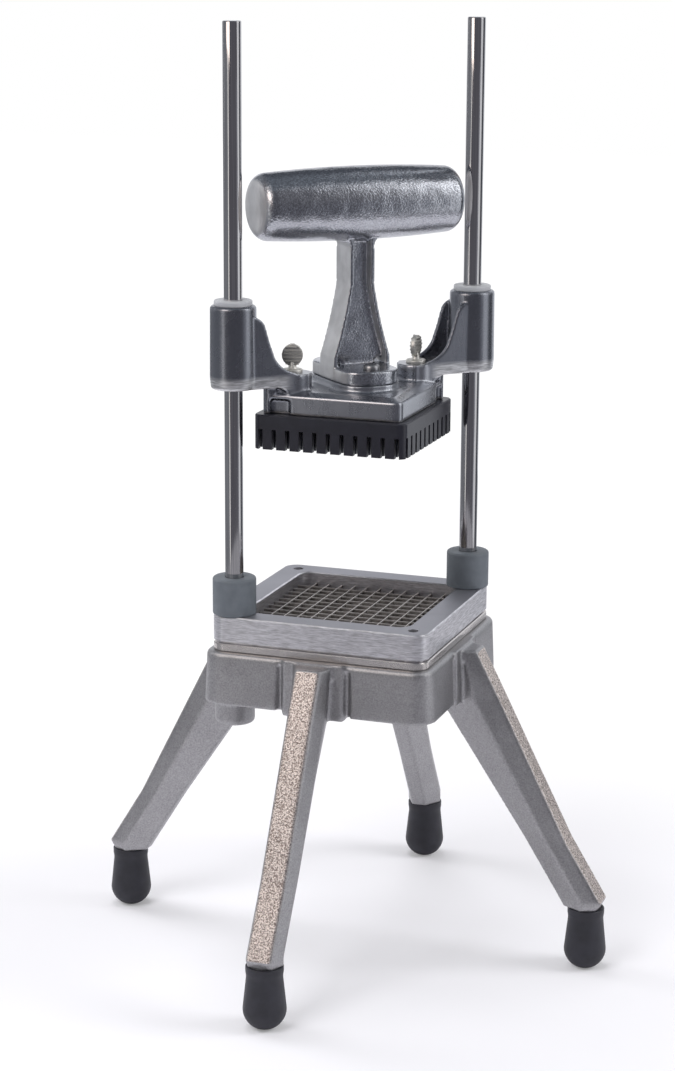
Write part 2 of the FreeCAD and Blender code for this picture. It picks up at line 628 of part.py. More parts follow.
def make_blade_frame():
    """The thick upper frame: its inner walls are slotted from below for the blades' ends."""
    body = new_body("blade_frame")
    rim = rounded_square(sketch(body, "rim_outline", height="frame_bottom"), "frame_half", "frame_corner")
    pad(body, rim, "rim", "frame_top - frame_bottom")
    land = rounded_square(sketch(body, "land_outline", height="seat_top"),
                          "frame_half - frame_land_inset", "frame_corner - frame_land_inset")
    pad(body, land, "land", "frame_bottom - seat_top")
    mouth = rounded_square(sketch(body, "mouth_outline", height="frame_top"), "mouth_half", "mouth_corner")
    pocket(body, mouth, "mouth", "frame_top - seat_top")
    soften(body, "top_edges", "frame_edge", at_height("frame_top"), kind="Chamfer")
    bores = corner_circles(sketch(body, "rod_bore_outline", height="frame_top"),
                           "rod_radius + rod_clearance", "rod_offset")
    pocket(body, bores, "rod_bores", "frame_top - seat_top")
    ways = corner_circles(sketch(body, "frame_screw_outline", height="frame_top"),
                          "screw_radius + way_clearance", "frame_screw_offset", SCREW_CORNERS)
    pocket(body, ways, "frame_screw_ways", "frame_top - seat_top")
    sinks = corner_circles(sketch(body, "frame_screw_sink_outline", height="frame_top"),
                           "screw_head_radius + screw_head_clearance", "frame_screw_offset", SCREW_CORNERS)
    pocket(body, sinks, "frame_screw_sinks", "screw_head_sink + screw_head_height")

    low = "blade_slot_width / 2"
    for name, along in (("across", "Y_Axis"), ("lengthwise", "X_Axis")):
        slot = sketch(body, f"slot_{name}_outline", height="seat_top")
        near = f"{FIRST_CELL_LINE} - {low}"
        far = f"{FIRST_CELL_LINE} + {low}"
        limits = ("-blade_slot_half", "blade_slot_half", f"-( {far} )", f"-( {near} )")
        if along == "X_Axis":
            limits = limits[2:] + limits[:2]
        box_outline(slot, *limits)
        cut = pocket(body, slot, f"slot_{name}", "blade_top - seat_top + blade_slot_gap", up=True)
        row_of(body, [cut], f"slots_{name}", along, CELL_SPAN, "blade_count")
    return body


def make_blades(label, across):
    """Eleven straight blades; each has a half-deep notch where it meets a blade of the other set."""
    body = new_body(label)
    half = "blade_thick / 2"
    near = f"-( {FIRST_CELL_LINE} + {half} )"
    far = f"-( {FIRST_CELL_LINE} - {half} )"
    limits = ("-blade_half", "blade_half", near, far)
    wide_near = f"-( {FIRST_CELL_LINE} + {half} + notch_clearance )"
    wide_far = f"-( {FIRST_CELL_LINE} - {half} - notch_clearance )"
    notch_limits = (wide_near, wide_far, "-blade_half", "blade_half")
    row_axis, notch_axis = "Y_Axis", "X_Axis"
    if not across:
        limits = limits[2:] + limits[:2]
        notch_limits = notch_limits[2:] + notch_limits[:2]
        row_axis, notch_axis = notch_axis, row_axis
    blade = pad(body, box_outline(sketch(body, "blade_outline", height="seat_top"), *limits),
                "blade", "blade_top - seat_top")
    row_of(body, [blade], "blade_row", row_axis, CELL_SPAN, "blade_count")
    notch_height = "blade_top" if across else "seat_top"
    notch = pocket(body, box_outline(sketch(body, "notch_outline", height=notch_height), *notch_limits),
                   "notch", "( blade_top - seat_top ) / 2 + notch_clearance", up=not across)
    row_of(body, [notch], "notch_row", notch_axis, CELL_SPAN, "blade_count")
    return body


def make_frame_screws():
    """Two socket-head screws, sunk in the blade frame, that clamp frame and plate to the casting."""
    body = new_body("frame_screws")
    under_head = "frame_top - screw_head_sink - screw_head_height"
    heads = corner_circles(sketch(body, "head_outline", height=under_head),
                           "screw_head_radius", "frame_screw_offset", SCREW_CORNERS)
    pad(body, heads, "heads", "screw_head_height")
    shanks = corner_circles(sketch(body, "shank_outline", height=f"{under_head} + overlap"),
                            "screw_radius", "frame_screw_offset", SCREW_CORNERS)
    pad(body, shanks, "shanks", f"{under_head} + overlap - casting_top + screw_reach", down=True)
    keys = sketch(body, "key_outline", height="frame_top - screw_head_sink")
    for across, along in SCREW_CORNERS:
        hexagon(keys, "screw_key_half", f"{across} * frame_screw_offset", f"{along} * frame_screw_offset")
    pocket(body, keys, "keys", "screw_key_depth")
    return body


def hexagon(flat, across_half, x, y):
    """A hexagon about a spot, from half its width across flats."""
    reach = f"( {across_half} ) / {math.cos(math.pi / 6):.6f}"
    corners = []
    for step in range(6):
        angle = math.radians(60 * step)
        corners.append((f"{x} + {reach} * {math.cos(angle):.6f}", f"{y} + {reach} * {math.sin(angle):.6f}"))
    return outline(flat, corners)


def make_rod(side):
    """A ground steel guide rod, chamfered at the top and tapped at the foot."""
    body = new_body(f"{side}_guide_rod")
    bar = circle(sketch(body, "bar_outline", height="rod_foot"), "rod_radius")
    pad(body, bar, "bar", "rod_top - rod_foot")
    soften(body, "top_chamfer", "rod_edge", at_height("rod_top"), kind="Chamfer")
    tap = circle(sketch(body, "tap_outline", height="rod_foot"), "rod_screw_radius + tap_clearance")
    pocket(body, tap, "tap", "rod_screw_tap", up=True)
    to_corner(body, side, "rod_offset")
    return body


def make_rod_screws():
    """Two hex-head screws that hold the rods from below, their heads sunk in the rod bosses."""
    body = new_body("rod_screws")
    heads = sketch(body, "head_outline", height="rod_boss_bottom + rod_screw_sink")
    for sign in ROD_CORNERS.values():
        hexagon(heads, HEAD_ACROSS, f"{sign} * rod_offset", f"{sign} * rod_offset")
    pad(body, heads, "heads", "rod_screw_head_height", down=True)
    under_rod = "rod_boss_bottom + rod_screw_sink - overlap"
    shanks = corner_circles(sketch(body, "shank_outline", height=under_rod),
                            "rod_screw_radius", "rod_offset")
    pad(body, shanks, "shanks", f"rod_foot + rod_screw_grip - ( {under_rod} )")
    return body


def make_bumper(side):
    """A rubber stop that sits on the blade frame round a rod."""
    body = new_body(f"{side}_bumper")
    block = circle(sketch(body, "block_outline", height="frame_top"), "bumper_radius")
    pad(body, block, "block", "bumper_height")
    soften(body, "edges", "bumper_edge", lambda edge, middle: True, kind="Chamfer")
    bore = circle(sketch(body, "bore_outline", height="frame_top"), "rod_radius + rod_clearance")
    pocket(body, bore, "bore", "bumper_height", up=True)
    to_corner(body, side, "rod_offset")
    return body


def make_pusher_head():
    """The black toothed head: a square block slotted both ways from below."""
    body = new_body("pusher_head")
    block = rounded_square(sketch(body, "block_outline", height="tooth_tip"), "head_half", "head_corner")
    pad(body, block, "block", "head_top - tooth_tip")
    soften(body, "top_edge", "head_edge", at_height("head_top"), kind="Chamfer")
    gap = "tooth_gap / 2"
    near = f"-( {FIRST_CELL_LINE} + {gap} )"
    far = f"-( {FIRST_CELL_LINE} - {gap} )"
    for name, axis in (("across", "Y_Axis"), ("lengthwise", "X_Axis")):
        limits = ("-head_half - past", "head_half + past", near, far)
        if axis == "X_Axis":
            limits = limits[2:] + limits[:2]
        slot = box_outline(sketch(body, f"gap_{name}_outline", height="tooth_tip"), *limits)
        cut = pocket(body, slot, f"gap_{name}", "tooth_root - tooth_tip", up=True)
        row_of(body, [cut], f"gaps_{name}", axis, CELL_SPAN, "blade_count")
    taps = corner_circles(sketch(body, "thumb_tap_outline", height="head_top"),
                          "thumb_shank + tap_clearance", "thumb_offset")
    pocket(body, taps, "thumb_taps", "head_top - tooth_root - thumb_tap_floor")
    return body


# The upper edge of an arm's ribs: inward from the rod's axis, and down from the sleeve's top.
RIB_LINE = ((0, 4.5), (12, 8), (18.2, 14), (21.6, 25.5), (25.5, 36.5), (38, 46.6), (43.9, 49))


def mirrored(corners, arcs):
    """The same outline on the other side of the vertical axis."""
    turned = [(f"-( {x} )", z) for x, z in corners][::-1]
    return turned, {len(corners) - 2 - side: bend for side, bend in arcs.items()}


def arm_profile(body, sign):
    """Side view of one arm: a swept rib line above, a level underside that bends down to the cap."""
    corners = [
        ("arm_root", "cap_shoulder - arm_sink"),
        ("arm_bend_low", "cap_shoulder - arm_sink"),
        ("arm_bend_high", "sleeve_bottom"),
        (ROD_REACH, "sleeve_bottom"),
    ]
    corners += [(f"{ROD_REACH} - {inward}", f"sleeve_top - {down}") for inward, down in RIB_LINE]
    corners += [("arm_root", "thumb_seat")]
    arcs = {1: ("arm_bend_round", -1), 5: ("arm_bend_round", 1), 8: ("arm_foot_round", -1)}
    if sign < 0:
        corners, arcs = mirrored(corners, arcs)
    name = "right_arm_profile" if sign > 0 else "left_arm_profile"
    return outline(upright_sketch(body, name, turn=DIAGONAL), corners, arcs)


def make_pusher_casting():
    """The polished casting: a square cap over the head, and two channelled arms with rod sleeves."""
    body = new_body("pusher_casting")
    cap = rounded_square(sketch(body, "cap_outline", height="head_top"), "cap_half", "cap_corner")
    pad(body, cap, "cap", "cap_shoulder - head_top")
    loft(body, "roof", [
        rounded_square(sketch(body, "roof_low", height="cap_shoulder"), "cap_half", "cap_corner"),
        rounded_square(sketch(body, "roof_high", height="cap_top"), "cap_top_half", "cap_corner - 3"),
    ])
    for name, sign in ROD_CORNERS.items():
        pad(body, arm_profile(body, sign), f"{name}_arm", "2 * arm_half", both_ways=True)
    posts = corner_circles(sketch(body, "post_outline", height="head_top"),
                           "cap_corner", "cap_half - cap_corner")
    pad(body, posts, "posts", "sleeve_bottom + overlap - head_top")

    niche = sketch(body, "niche_outline", height="head_top")
    inset, outside = "cap_half - cap_niche_depth", "cap_half + past"
    box_outline(niche, "cap_niche_start", "cap_niche_end", inset, outside)
    box_outline(niche, inset, outside, "cap_niche_start", "cap_niche_end")
    cut = pocket(body, niche, "niche_pair", "cap_niche_top - head_top", up=True)
    ring_of(body, [cut], "niches", 2)

    channel_width = "2 * ( arm_half - arm_rib )"
    for name, sign in ROD_CORNERS.items():
        reach = ("channel_start", f"{ROD_REACH} - channel_stop")
        seat = ("seat_start", "seat_end")
        if sign < 0:
            reach = (f"-( {reach[1]} )", "-channel_start")
            seat = ("-seat_end", "-seat_start")
        channel = box_outline(upright_sketch(body, f"{name}_channel_outline", turn=DIAGONAL),
                              *reach, "thumb_seat - channel_sink", "sleeve_top + past")
        pocket(body, channel, f"{name}_channel", channel_width, both_ways=True)
        opening = box_outline(upright_sketch(body, f"{name}_seat_outline", turn=DIAGONAL),
                              *seat, "thumb_seat", "sleeve_top")
        pocket(body, opening, f"{name}_seat", channel_width, both_ways=True)

    thumb_bosses = corner_circles(sketch(body, "thumb_boss_outline", height="cap_shoulder - overlap"),
                                  "thumb_boss_radius", "thumb_offset")
    pad(body, thumb_bosses, "thumb_bosses", "thumb_seat - cap_shoulder + overlap")
    step = sketch(body, "handle_seat_outline", "cap_shoulder", turn=DIAGONAL)
    rounded_box(step, "base_half_across + base_margin", "base_half_along + base_margin",
                "base_corner + base_margin")
    pad(body, step, "handle_seat", "base_bottom - cap_shoulder")

    for name, sign in ROD_CORNERS.items():
        sleeve = upright_sketch(body, f"{name}_sleeve_profile", along=f"{sign} * {ROD_REACH}", turn=DIAGONAL)
        outline(sleeve, (
            ("0", "sleeve_bottom"),
            ("sleeve_radius - sleeve_edge", "sleeve_bottom"),
            ("sleeve_radius - sleeve_land", "sleeve_bottom + sleeve_land_height"),
            ("sleeve_radius", "sleeve_parting"),
            ("sleeve_radius - sleeve_taper", "sleeve_top - sleeve_edge_height"),
            ("sleeve_radius - sleeve_edge", "sleeve_top"),
            ("0", "sleeve_top"),
        ))
        revolve(body, sleeve, f"{name}_sleeve")

    bores = corner_circles(sketch(body, "bushing_bore_outline", height="sleeve_top"),
                           "bushing_radius + running_clearance", "rod_offset")
    pocket(body, bores, "bushing_bores", "sleeve_top - sleeve_bottom")
    ways = corner_circles(sketch(body, "thumb_way_outline", height="thumb_seat"),
                          "thumb_hole", "thumb_offset")
    pocket(body, ways, "thumb_ways", "thumb_seat - head_top")
    taps = sketch(body, "handle_tap_outline", "base_bottom", turn=DIAGONAL)
    for sign in (-1, 1):
        circle(taps, "handle_screw_radius + tap_clearance", "0", f"{sign} * handle_screw_offset")
    pocket(body, taps, "handle_taps", "base_bottom - head_top - handle_tap_floor")
    return body


def make_bushing(side, level):
    """A nylon bushing pressed into one end of a sleeve; the upper one has a flange."""
    body = new_body(f"{side}_{level}_bushing")
    bore = "rod_radius + running_clearance"
    if level == "upper":
        corners = (
            (bore, "sleeve_top - bushing_length"),
            ("bushing_radius", "sleeve_top - bushing_length"),
            ("bushing_radius", "sleeve_top"),
            ("bushing_flange", "sleeve_top"),
            ("bushing_flange", "sleeve_top + bushing_proud - bushing_edge"),
            ("bushing_flange - bushing_edge", "sleeve_top + bushing_proud"),
            (bore, "sleeve_top + bushing_proud"),
        )
    else:
        corners = (
            (bore, "sleeve_bottom + bushing_sink"),
            ("bushing_radius", "sleeve_bottom + bushing_sink"),
            ("bushing_radius", "sleeve_bottom + bushing_sink + bushing_length"),
            (bore, "sleeve_bottom + bushing_sink + bushing_length"),
        )
    revolve(body, outline(upright_sketch(body, "bushing_profile"), corners), "bushing")
    to_corner(body, side, "rod_offset")
    return body


def make_handle():
    """The cast T-handle: oblong base, flanged stem with a sunk web, and a barrel-shaped grip."""
    body = new_body("handle")
    base = sketch(body, "base_outline", "base_bottom", turn=DIAGONAL)
    rounded_box(base, "base_half_across", "base_half_along", "base_corner")
    pad(body, base, "base", "base_top - base_bottom")
    soften(body, "base_edges", "base_edge", at_height("base_top"), kind="Chamfer")

    low = "base_top - overlap"
    high = "grip_z - grip_radius + web_sink"
    flange_top = "grip_z - grip_radius + flange_sink"
    waist = "stem_waist_half - web_inset"
    foot = "stem_foot_half - web_inset"
    web = outline(upright_sketch(body, "web_profile", turn=DIAGONAL), (
        ("-stem_waist_half", low),
        ("stem_waist_half", low),
        (foot, "stem_foot_z"),
        (waist, "stem_waist_z"),
        (waist, high),
        (f"-( {waist} )", high),
        (f"-( {waist} )", "stem_waist_z"),
        (f"-( {foot} )", "stem_foot_z"),
    ))
    pad(body, web, "web", "2 * web_half", both_ways=True)
    for name, sign in ROD_CORNERS.items():
        corners = [
            ("base_half_across + stem_proud", "base_bottom"),
            ("base_half_across + stem_proud", "base_top"),
            ("stem_foot_half", "stem_foot_z"),
            ("stem_waist_half", "stem_waist_z"),
            ("stem_waist_half", "grip_z - grip_radius - stem_top_spread"),
            ("stem_waist_half + stem_top_spread", flange_top),
            ("stem_waist_half - flange_thick", flange_top),
            ("stem_waist_half - flange_thick", "stem_waist_z"),
            ("stem_foot_half - flange_thick", "stem_foot_z"),
            ("base_half_across - flange_thick", "base_bottom"),
        ]
        arcs = {2: ("stem_sweep", -1), 4: ("stem_top_round", -1), 7: ("stem_sweep", 1)}
        if sign < 0:
            corners, arcs = mirrored(corners, arcs)
        flange = outline(upright_sketch(body, f"{name}_flange_profile", turn=DIAGONAL), corners, arcs)
        pad(body, flange, f"{name}_flange", "2 * stem_depth_half", both_ways=True)

    barrel = "grip_half ^ 2 / ( 2 * ( grip_radius - grip_end_radius ) )"
    flat_end = "grip_end_radius - grip_end_round"
    grip = outline(upright_sketch(body, "grip_profile", height="grip_z", turn=DIAGONAL), (
        ("-grip_half", "0"),
        ("grip_half", "0"),
        ("grip_half", flat_end),
        ("grip_half - grip_end_round", "grip_end_radius + grip_end_lift"),
        ("-( grip_half - grip_end_round )", "grip_end_radius + grip_end_lift"),
        ("-grip_half", flat_end),
    ), {2: ("grip_end_round", 1), 3: (barrel, 1), 4: ("grip_end_round", 1)})
    revolve(body, grip, "grip", axis="H_Axis")
    ways = sketch(body, "screw_way_outline", "base_top", turn=DIAGONAL)
    for sign in (-1, 1):
        circle(ways, "handle_screw_radius + handle_screw_clearance", "0",
               f"{sign} * handle_screw_offset")
    pocket(body, ways, "screw_ways", "base_top - base_bottom")
    return body


def make_handle_screws():
    """Two pan-head screws that hold the handle's base to the pusher casting."""
    body = new_body("handle_screws")
    for name, sign in (("front", 1), ("back", -1)):
        profile = upright_sketch(body, f"{name}_profile", turn=-DIAGONAL,
                                 along=f"{sign} * handle_screw_offset")
        outline(profile, (
            ("0", "base_bottom - handle_screw_reach"),
            ("handle_screw_radius", "base_bottom - handle_screw_reach"),
            ("handle_screw_radius", "base_top"),
            ("handle_screw_head", "base_top"),
            ("handle_screw_head", "base_top + pan_rim"),
            ("handle_screw_head - pan_shoulder_inset", "base_top + pan_shoulder"),
            ("handle_screw_head - pan_flat_inset", "base_top + pan_height"),
            ("0", "base_top + pan_height"),
        ))
        revolve(body, profile, f"{name}_screw")
    return body


def make_thumb_screw(side, bearing):
    """A thumb screw with a flange and an upright round paddle, turned to face a bearing."""
    body = new_body(f"{side}_thumb_screw")
    profile = upright_sketch(body, "turned_profile")
    outline(profile, (
        ("0", "head_top - thumb_reach"),
        ("thumb_shank", "head_top - thumb_reach"),
        ("thumb_shank", "thumb_seat"),
        ("thumb_flange", "thumb_seat"),
        ("thumb_flange", "thumb_seat + thumb_flange_rim"),
        ("thumb_flange - thumb_flange_edge", "thumb_seat + thumb_flange_top"),
        ("thumb_neck", "thumb_seat + thumb_flange_top"),
        ("thumb_neck_middle", "thumb_seat + thumb_neck_half"),
        ("thumb_neck_end", "thumb_seat + thumb_neck_top"),
        ("0", "thumb_seat + thumb_neck_top"),
    ))
    revolve(body, profile, "shank_and_flange")
    paddle = upright_sketch(body, "paddle_outline")
    outline(paddle, (
        ("-paddle_flat_half", "paddle_middle - paddle_side_half"),
        ("-paddle_foot_half", "thumb_seat + paddle_foot"),
        ("paddle_foot_half", "thumb_seat + paddle_foot"),
        ("paddle_flat_half", "paddle_middle - paddle_side_half"),
        ("paddle_flat_half", "paddle_middle + paddle_side_half"),
        ("-paddle_flat_half", "paddle_middle + paddle_side_half"),
    ), {3: ("paddle_side_round", 1), 4: ("paddle_top_round", 1), 5: ("paddle_side_round", 1)})
    pad(body, paddle, "paddle", "paddle_thick", both_ways=True)
    to_corner(body, side, "thumb_offset")
    body.Placement.Rotation = FreeCAD.Rotation(FreeCAD.Vector(0, 0, 1), bearing)
    return body


def build_parts():
    """Build every sub-part in the order in which it would be put together."""
    parts = [make_base_casting()]
    parts += [make_foot(bearing) for bearing in LEG_BEARINGS]
    parts += [make_seat_plate(), make_blade_frame()]
    parts += [make_blades("cross_blades", True), make_blades("lengthwise_blades", False)]
    parts += [make_frame_screws(), make_rod_screws()]
    parts += [make_rod(side) for side in ROD_CORNERS]
    parts += [make_bumper(side) for side in ROD_CORNERS]
    parts += [make_pusher_head(), make_pusher_casting()]
    parts += [make_bushing(side, level) for side in ROD_CORNERS for level in ("upper", "lower")]
    parts += [make_handle(), make_handle_screws()]
    parts += [make_thumb_screw(side, bearing) for side, bearing in PADDLE_BEARINGS.items()]
    return parts


def check_and_write(parts):
    """Stop on any failed feature or shape, then write one file for each sub-part."""
    doc.recompute()
    for item in doc.Objects:
        if "Invalid" in item.State or "Error" in item.State:
            raise RuntimeError(f"{item.Label} failed: {item.State}")
    os.makedirs("parts", exist_ok=True)
    for part in parts:
        shape = part.Shape
        if shape.isNull() or not shape.isValid() or not shape.Solids:
            raise RuntimeError(f"{part.Label} has no valid solid")
    for part in parts:
        part.Shape.exportStep(f"parts/{part.Label}.step")
        print(f"{part.Label}: {len(part.Shape.Solids)} solid(s), {part.Shape.Volume / 1000:.1f} cm3")


fill_sheet()
check_and_write(build_parts())
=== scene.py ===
"""Looks of a hand-operated french fry cutter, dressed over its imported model.

Lengths in the classes are millimetres in the model's own frame: +Z up, origin on the floor under the
centre of the square base. The rods stand on one diagonal of the square, the legs at its sides' middles.
"""

import logging
import math
from collections.abc import Callable
from dataclasses import dataclass, field
from enum import Enum
from functools import partial

import bmesh
import bpy
from mathutils import Matrix, Vector


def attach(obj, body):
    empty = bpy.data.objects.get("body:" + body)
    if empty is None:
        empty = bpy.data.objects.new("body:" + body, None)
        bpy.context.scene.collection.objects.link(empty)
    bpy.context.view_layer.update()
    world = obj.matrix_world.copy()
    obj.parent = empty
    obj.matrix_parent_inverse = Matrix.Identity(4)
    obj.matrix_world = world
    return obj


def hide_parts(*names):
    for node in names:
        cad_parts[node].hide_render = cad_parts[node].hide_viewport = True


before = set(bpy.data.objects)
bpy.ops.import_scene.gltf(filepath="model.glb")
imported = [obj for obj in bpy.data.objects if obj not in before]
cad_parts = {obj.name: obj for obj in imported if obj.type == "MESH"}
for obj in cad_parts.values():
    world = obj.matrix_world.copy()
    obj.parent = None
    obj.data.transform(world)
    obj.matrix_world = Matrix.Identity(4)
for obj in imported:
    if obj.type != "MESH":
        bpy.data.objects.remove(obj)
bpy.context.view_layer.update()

MM = 0.001
ROD_OFFSET = 64.63  # from the centre to each rod's axis, along X and along Y
ROOT_HALF = math.sqrt(0.5)
DIAGONAL = (ROOT_HALF, ROOT_HALF, 0.0)  # from the left rod to the right one
WELD = 0.001  # vertices of a turned shape that are nearer than this become one
CAD_WELD = 0.01  # the same for a CAD node's loose triangles
CLOUDY = (0.3, 0.7)  # the part of a noise's range that a pattern spans: less gives more contrast
SPECKLED = (0.32, 0.68)
PATCHY = (0.35, 0.65)
CAST_CREASE = 60.0  # a casting's skin is shaded sharp only past this angle
log = logging.getLogger("fry_cutter")

Shape = bmesh.types.BMesh
Output = bpy.types.NodeSocket
Adder = Callable[..., bpy.types.Node]
Corner = tuple[float, float, float]
Span = tuple[float, float]


class Body(Enum):
    """The bodies that pieces ride on."""

    STAND = "stand"
    PUSHER = "pusher"
    LEFT_THUMB = "left_thumb"
    RIGHT_THUMB = "right_thumb"


class Side(Enum):
    """The two ends of the diagonal on which rods, sleeves and thumb screws stand."""

    LEFT = -1
    RIGHT = 1

    def __str__(self) -> str:
        """The side as a piece's name has it."""
        return self.name.lower()


def linear(colour: str) -> tuple[float, float, float, float]:
    """Turn an sRGB hex colour into linear light.

    Args:
        colour: Six hex digits after a hash.

    Returns:
        Red, green, blue and an alpha of 1.
    """
    shares = [int(colour[start:start + 2], 16) / 255 for start in (1, 3, 5)]
    lit = [share / 12.92 if share <= 0.04045 else ((share + 0.055) / 1.055) ** 2.4 for share in shares]
    return lit[0], lit[1], lit[2], 1.0


def cells(size: float) -> float:
    """Noise scale whose cells have a size in millimetres."""
    return 1 / (size * MM)


def soft_edge(place: float, blur: float) -> Span:
    """Both ends of an edge that blurs over a place in millimetres; a negative blur turns it round."""
    return (place - blur) * MM, (place + blur) * MM


def add_node(tree: bpy.types.NodeTree, kind: str, feeds: dict | None = None, **settings) -> bpy.types.Node:
    """Add a shader node with its settings, its constant inputs and its links.

    Args:
        tree: The node tree that gets the node.
        kind: The node's type, without the words that all shader nodes share.
        feeds: What each input gets, by name or number: a value, a hex colour, an output, or a node,
            which gives its first output in use. A pair under From or To gives both ends of that range.
        settings: The node's own settings.

    Returns:
        The new node.
    """
    node = tree.nodes.new(f"ShaderNode{kind}")
    for name, setting in settings.items():
        setattr(node, name, setting)
    wanted = dict(feeds or {})
    for name in ("From", "To"):
        if name in wanted:
            wanted[f"{name} Min"], wanted[f"{name} Max"] = wanted.pop(name)
    for name, feed in wanted.items():
        named = [entry for entry in node.inputs if entry.name == name and entry.enabled]
        socket = named[0] if named else node.inputs[name]
        if isinstance(feed, bpy.types.Node):
            feed = next(output for output in feed.outputs if output.enabled)
        if isinstance(feed, Output):
            tree.links.new(feed, socket)
        else:
            socket.default_value = linear(feed) if isinstance(feed, str) else feed
    return node


def cleared(owner: bpy.types.Material | bpy.types.World) -> bpy.types.NodeTree:
    """Give a material or a world an empty node tree.

    Args:
        owner: The material or world.

    Returns:
        Its tree.
    """
    owner.use_nodes = True
    owner.node_tree.nodes.clear()
    return owner.node_tree


# -------------------- finishes


@dataclass(frozen=True)
class Finish:
    """A surface finish: what the real material is, and how it was made."""

    name: str
    colour: str
    roughness: float
    metallic: float = 1.0

    def material(self) -> bpy.types.Material:
        """Build the finish once, and hand out the same material after that.

        Returns:
            The material.
        """
        known = bpy.data.materials.get(self.name)
        if known:
            return known
        made = bpy.data.materials.new(self.name)
        add = partial(add_node, cleared(made))
        plain = {"Base Color": self.colour, "Roughness": self.roughness, "Metallic": self.metallic}
        place = add("TexCoord").outputs["Object"]
        add("OutputMaterial", {"Surface": add("BsdfPrincipled", plain | self.pattern(add, place))})
        return made

    def pattern(self, add: Adder, place: Output) -> dict:
        """Make the finish's own pattern. A bare finish has none.

        Args:
            add: Adds a node.
            place: The point on the object.

        Returns:
            What the shader gets.
        """
        return {}


@dataclass(frozen=True)
class TumbledCasting(Finish):
    """Sand-cast aluminium, tumbled: satin mid-grey, with fine grain and soft cloudy patches.

    The flat strip down the outside of each leg has coarser pits, and where it faces upward it is painted pale
    and warm: a painted highlight of the warm key light, which its darker pits break into a partly painted
    coarse sparkle. The real grain is about half as large as it is drawn.
    """

    dark: str = "#929193"
    cloud_mm: float = 28.0
    grain_mm: float = 1.1
    grain_depth_mm: float = 0.25
    grain_tone: Span = (0.78, 1.24)
    # Painted highlight: the pale warm tone of the legs' strips, and the darker tone of their pits.
    strip: str = "#efe4de"
    strip_pit: str = "#8c807a"
    strip_grain_mm: float = 1.05
    strip_pit_depth_mm: float = 0.45
    strip_pit_edge: Span = (0.4, 0.59)
    strip_half_mm: float = 8.2
    strip_edge_mm: float = 0.9
    strip_starts_mm: float = 95.0

    def pattern(self, add: Adder, place: Output) -> dict:
        """Cloud the colour, and roughen the surface with fine grain, coarser down the legs' strips.

        The strips' upward faces are painted pale and warm as a painted highlight, their pits darker.

        Args:
            add: Adds a node.
            place: The point on the object.

        Returns:
            What the shader gets.
        """
        apart = add("SeparateXYZ", {0: place}).outputs
        upward = add("SeparateXYZ", {0: add("NewGeometry").outputs["Normal"]}).outputs["Z"]
        reach = []
        for along, across in (("X", "Y"), ("Y", "X")):
            out = add("Math", {0: apart[along]}, operation="ABSOLUTE")
            aside = add("Math", {0: apart[across]}, operation="ABSOLUTE")
            far = add("Math", {0: out, 1: self.strip_starts_mm * MM}, operation="GREATER_THAN")
            near = add("MapRange", {"Value": aside, "From": soft_edge(self.strip_half_mm, -self.strip_edge_mm)})
            reach.append(add("Math", {0: far, 1: near}, operation="MULTIPLY"))
        leg = add("Math", {0: reach[0], 1: reach[1]}, operation="MAXIMUM")
        # Only the strip's upward faces, which face the warm key light, get the painted highlight.
        rising = add("Math", {0: upward, 1: 0.1}, operation="GREATER_THAN")
        strip = add("Math", {0: leg, 1: rising}, operation="MULTIPLY")

        cloud = add("TexNoise", {"Vector": place, "Scale": cells(self.cloud_mm), "Detail": 4.0})
        fine = add("TexNoise", {"Vector": place, "Scale": cells(self.grain_mm), "Detail": 3.0, "Roughness": 0.7})
        coarse = add("TexNoise", {
            "Vector": place, "Scale": cells(self.strip_grain_mm), "Detail": 2.0, "Roughness": 0.6})
        shade = add("Mix", {"Factor": cloud, "A": self.dark, "B": self.colour}, data_type="RGBA")
        spots = add("MapRange", {"Value": fine, "From": SPECKLED, "To": self.grain_tone})
        speckled = add("VectorMath", {0: shade, "Scale": spots}, operation="SCALE")
        # Painted highlight: the strip is painted pale and warm, and its pits darker, for the key light's coarse
        # sparkle.
        pits = add("MapRange", {"Value": coarse, "From": self.strip_pit_edge})
        pale = add("Mix", {"Factor": pits, "A": self.strip_pit, "B": self.strip}, data_type="RGBA")
        tone = add("Mix", {"Factor": strip, "A": speckled, "B": pale}, data_type="RGBA")
        gloss = add("MapRange", {"Value": cloud, "To": (self.roughness - 0.06, self.roughness + 0.08)})
        skin = add("Bump", {"Height": fine, "Distance": self.grain_depth_mm * MM, "Strength": 0.6})
        pitted = add("Bump", {
            "Height": coarse, "Distance": self.strip_pit_depth_mm * MM, "Strength": strip, "Normal": skin})
        return {"Base Color": tone, "Roughness": gloss, "Normal": pitted}


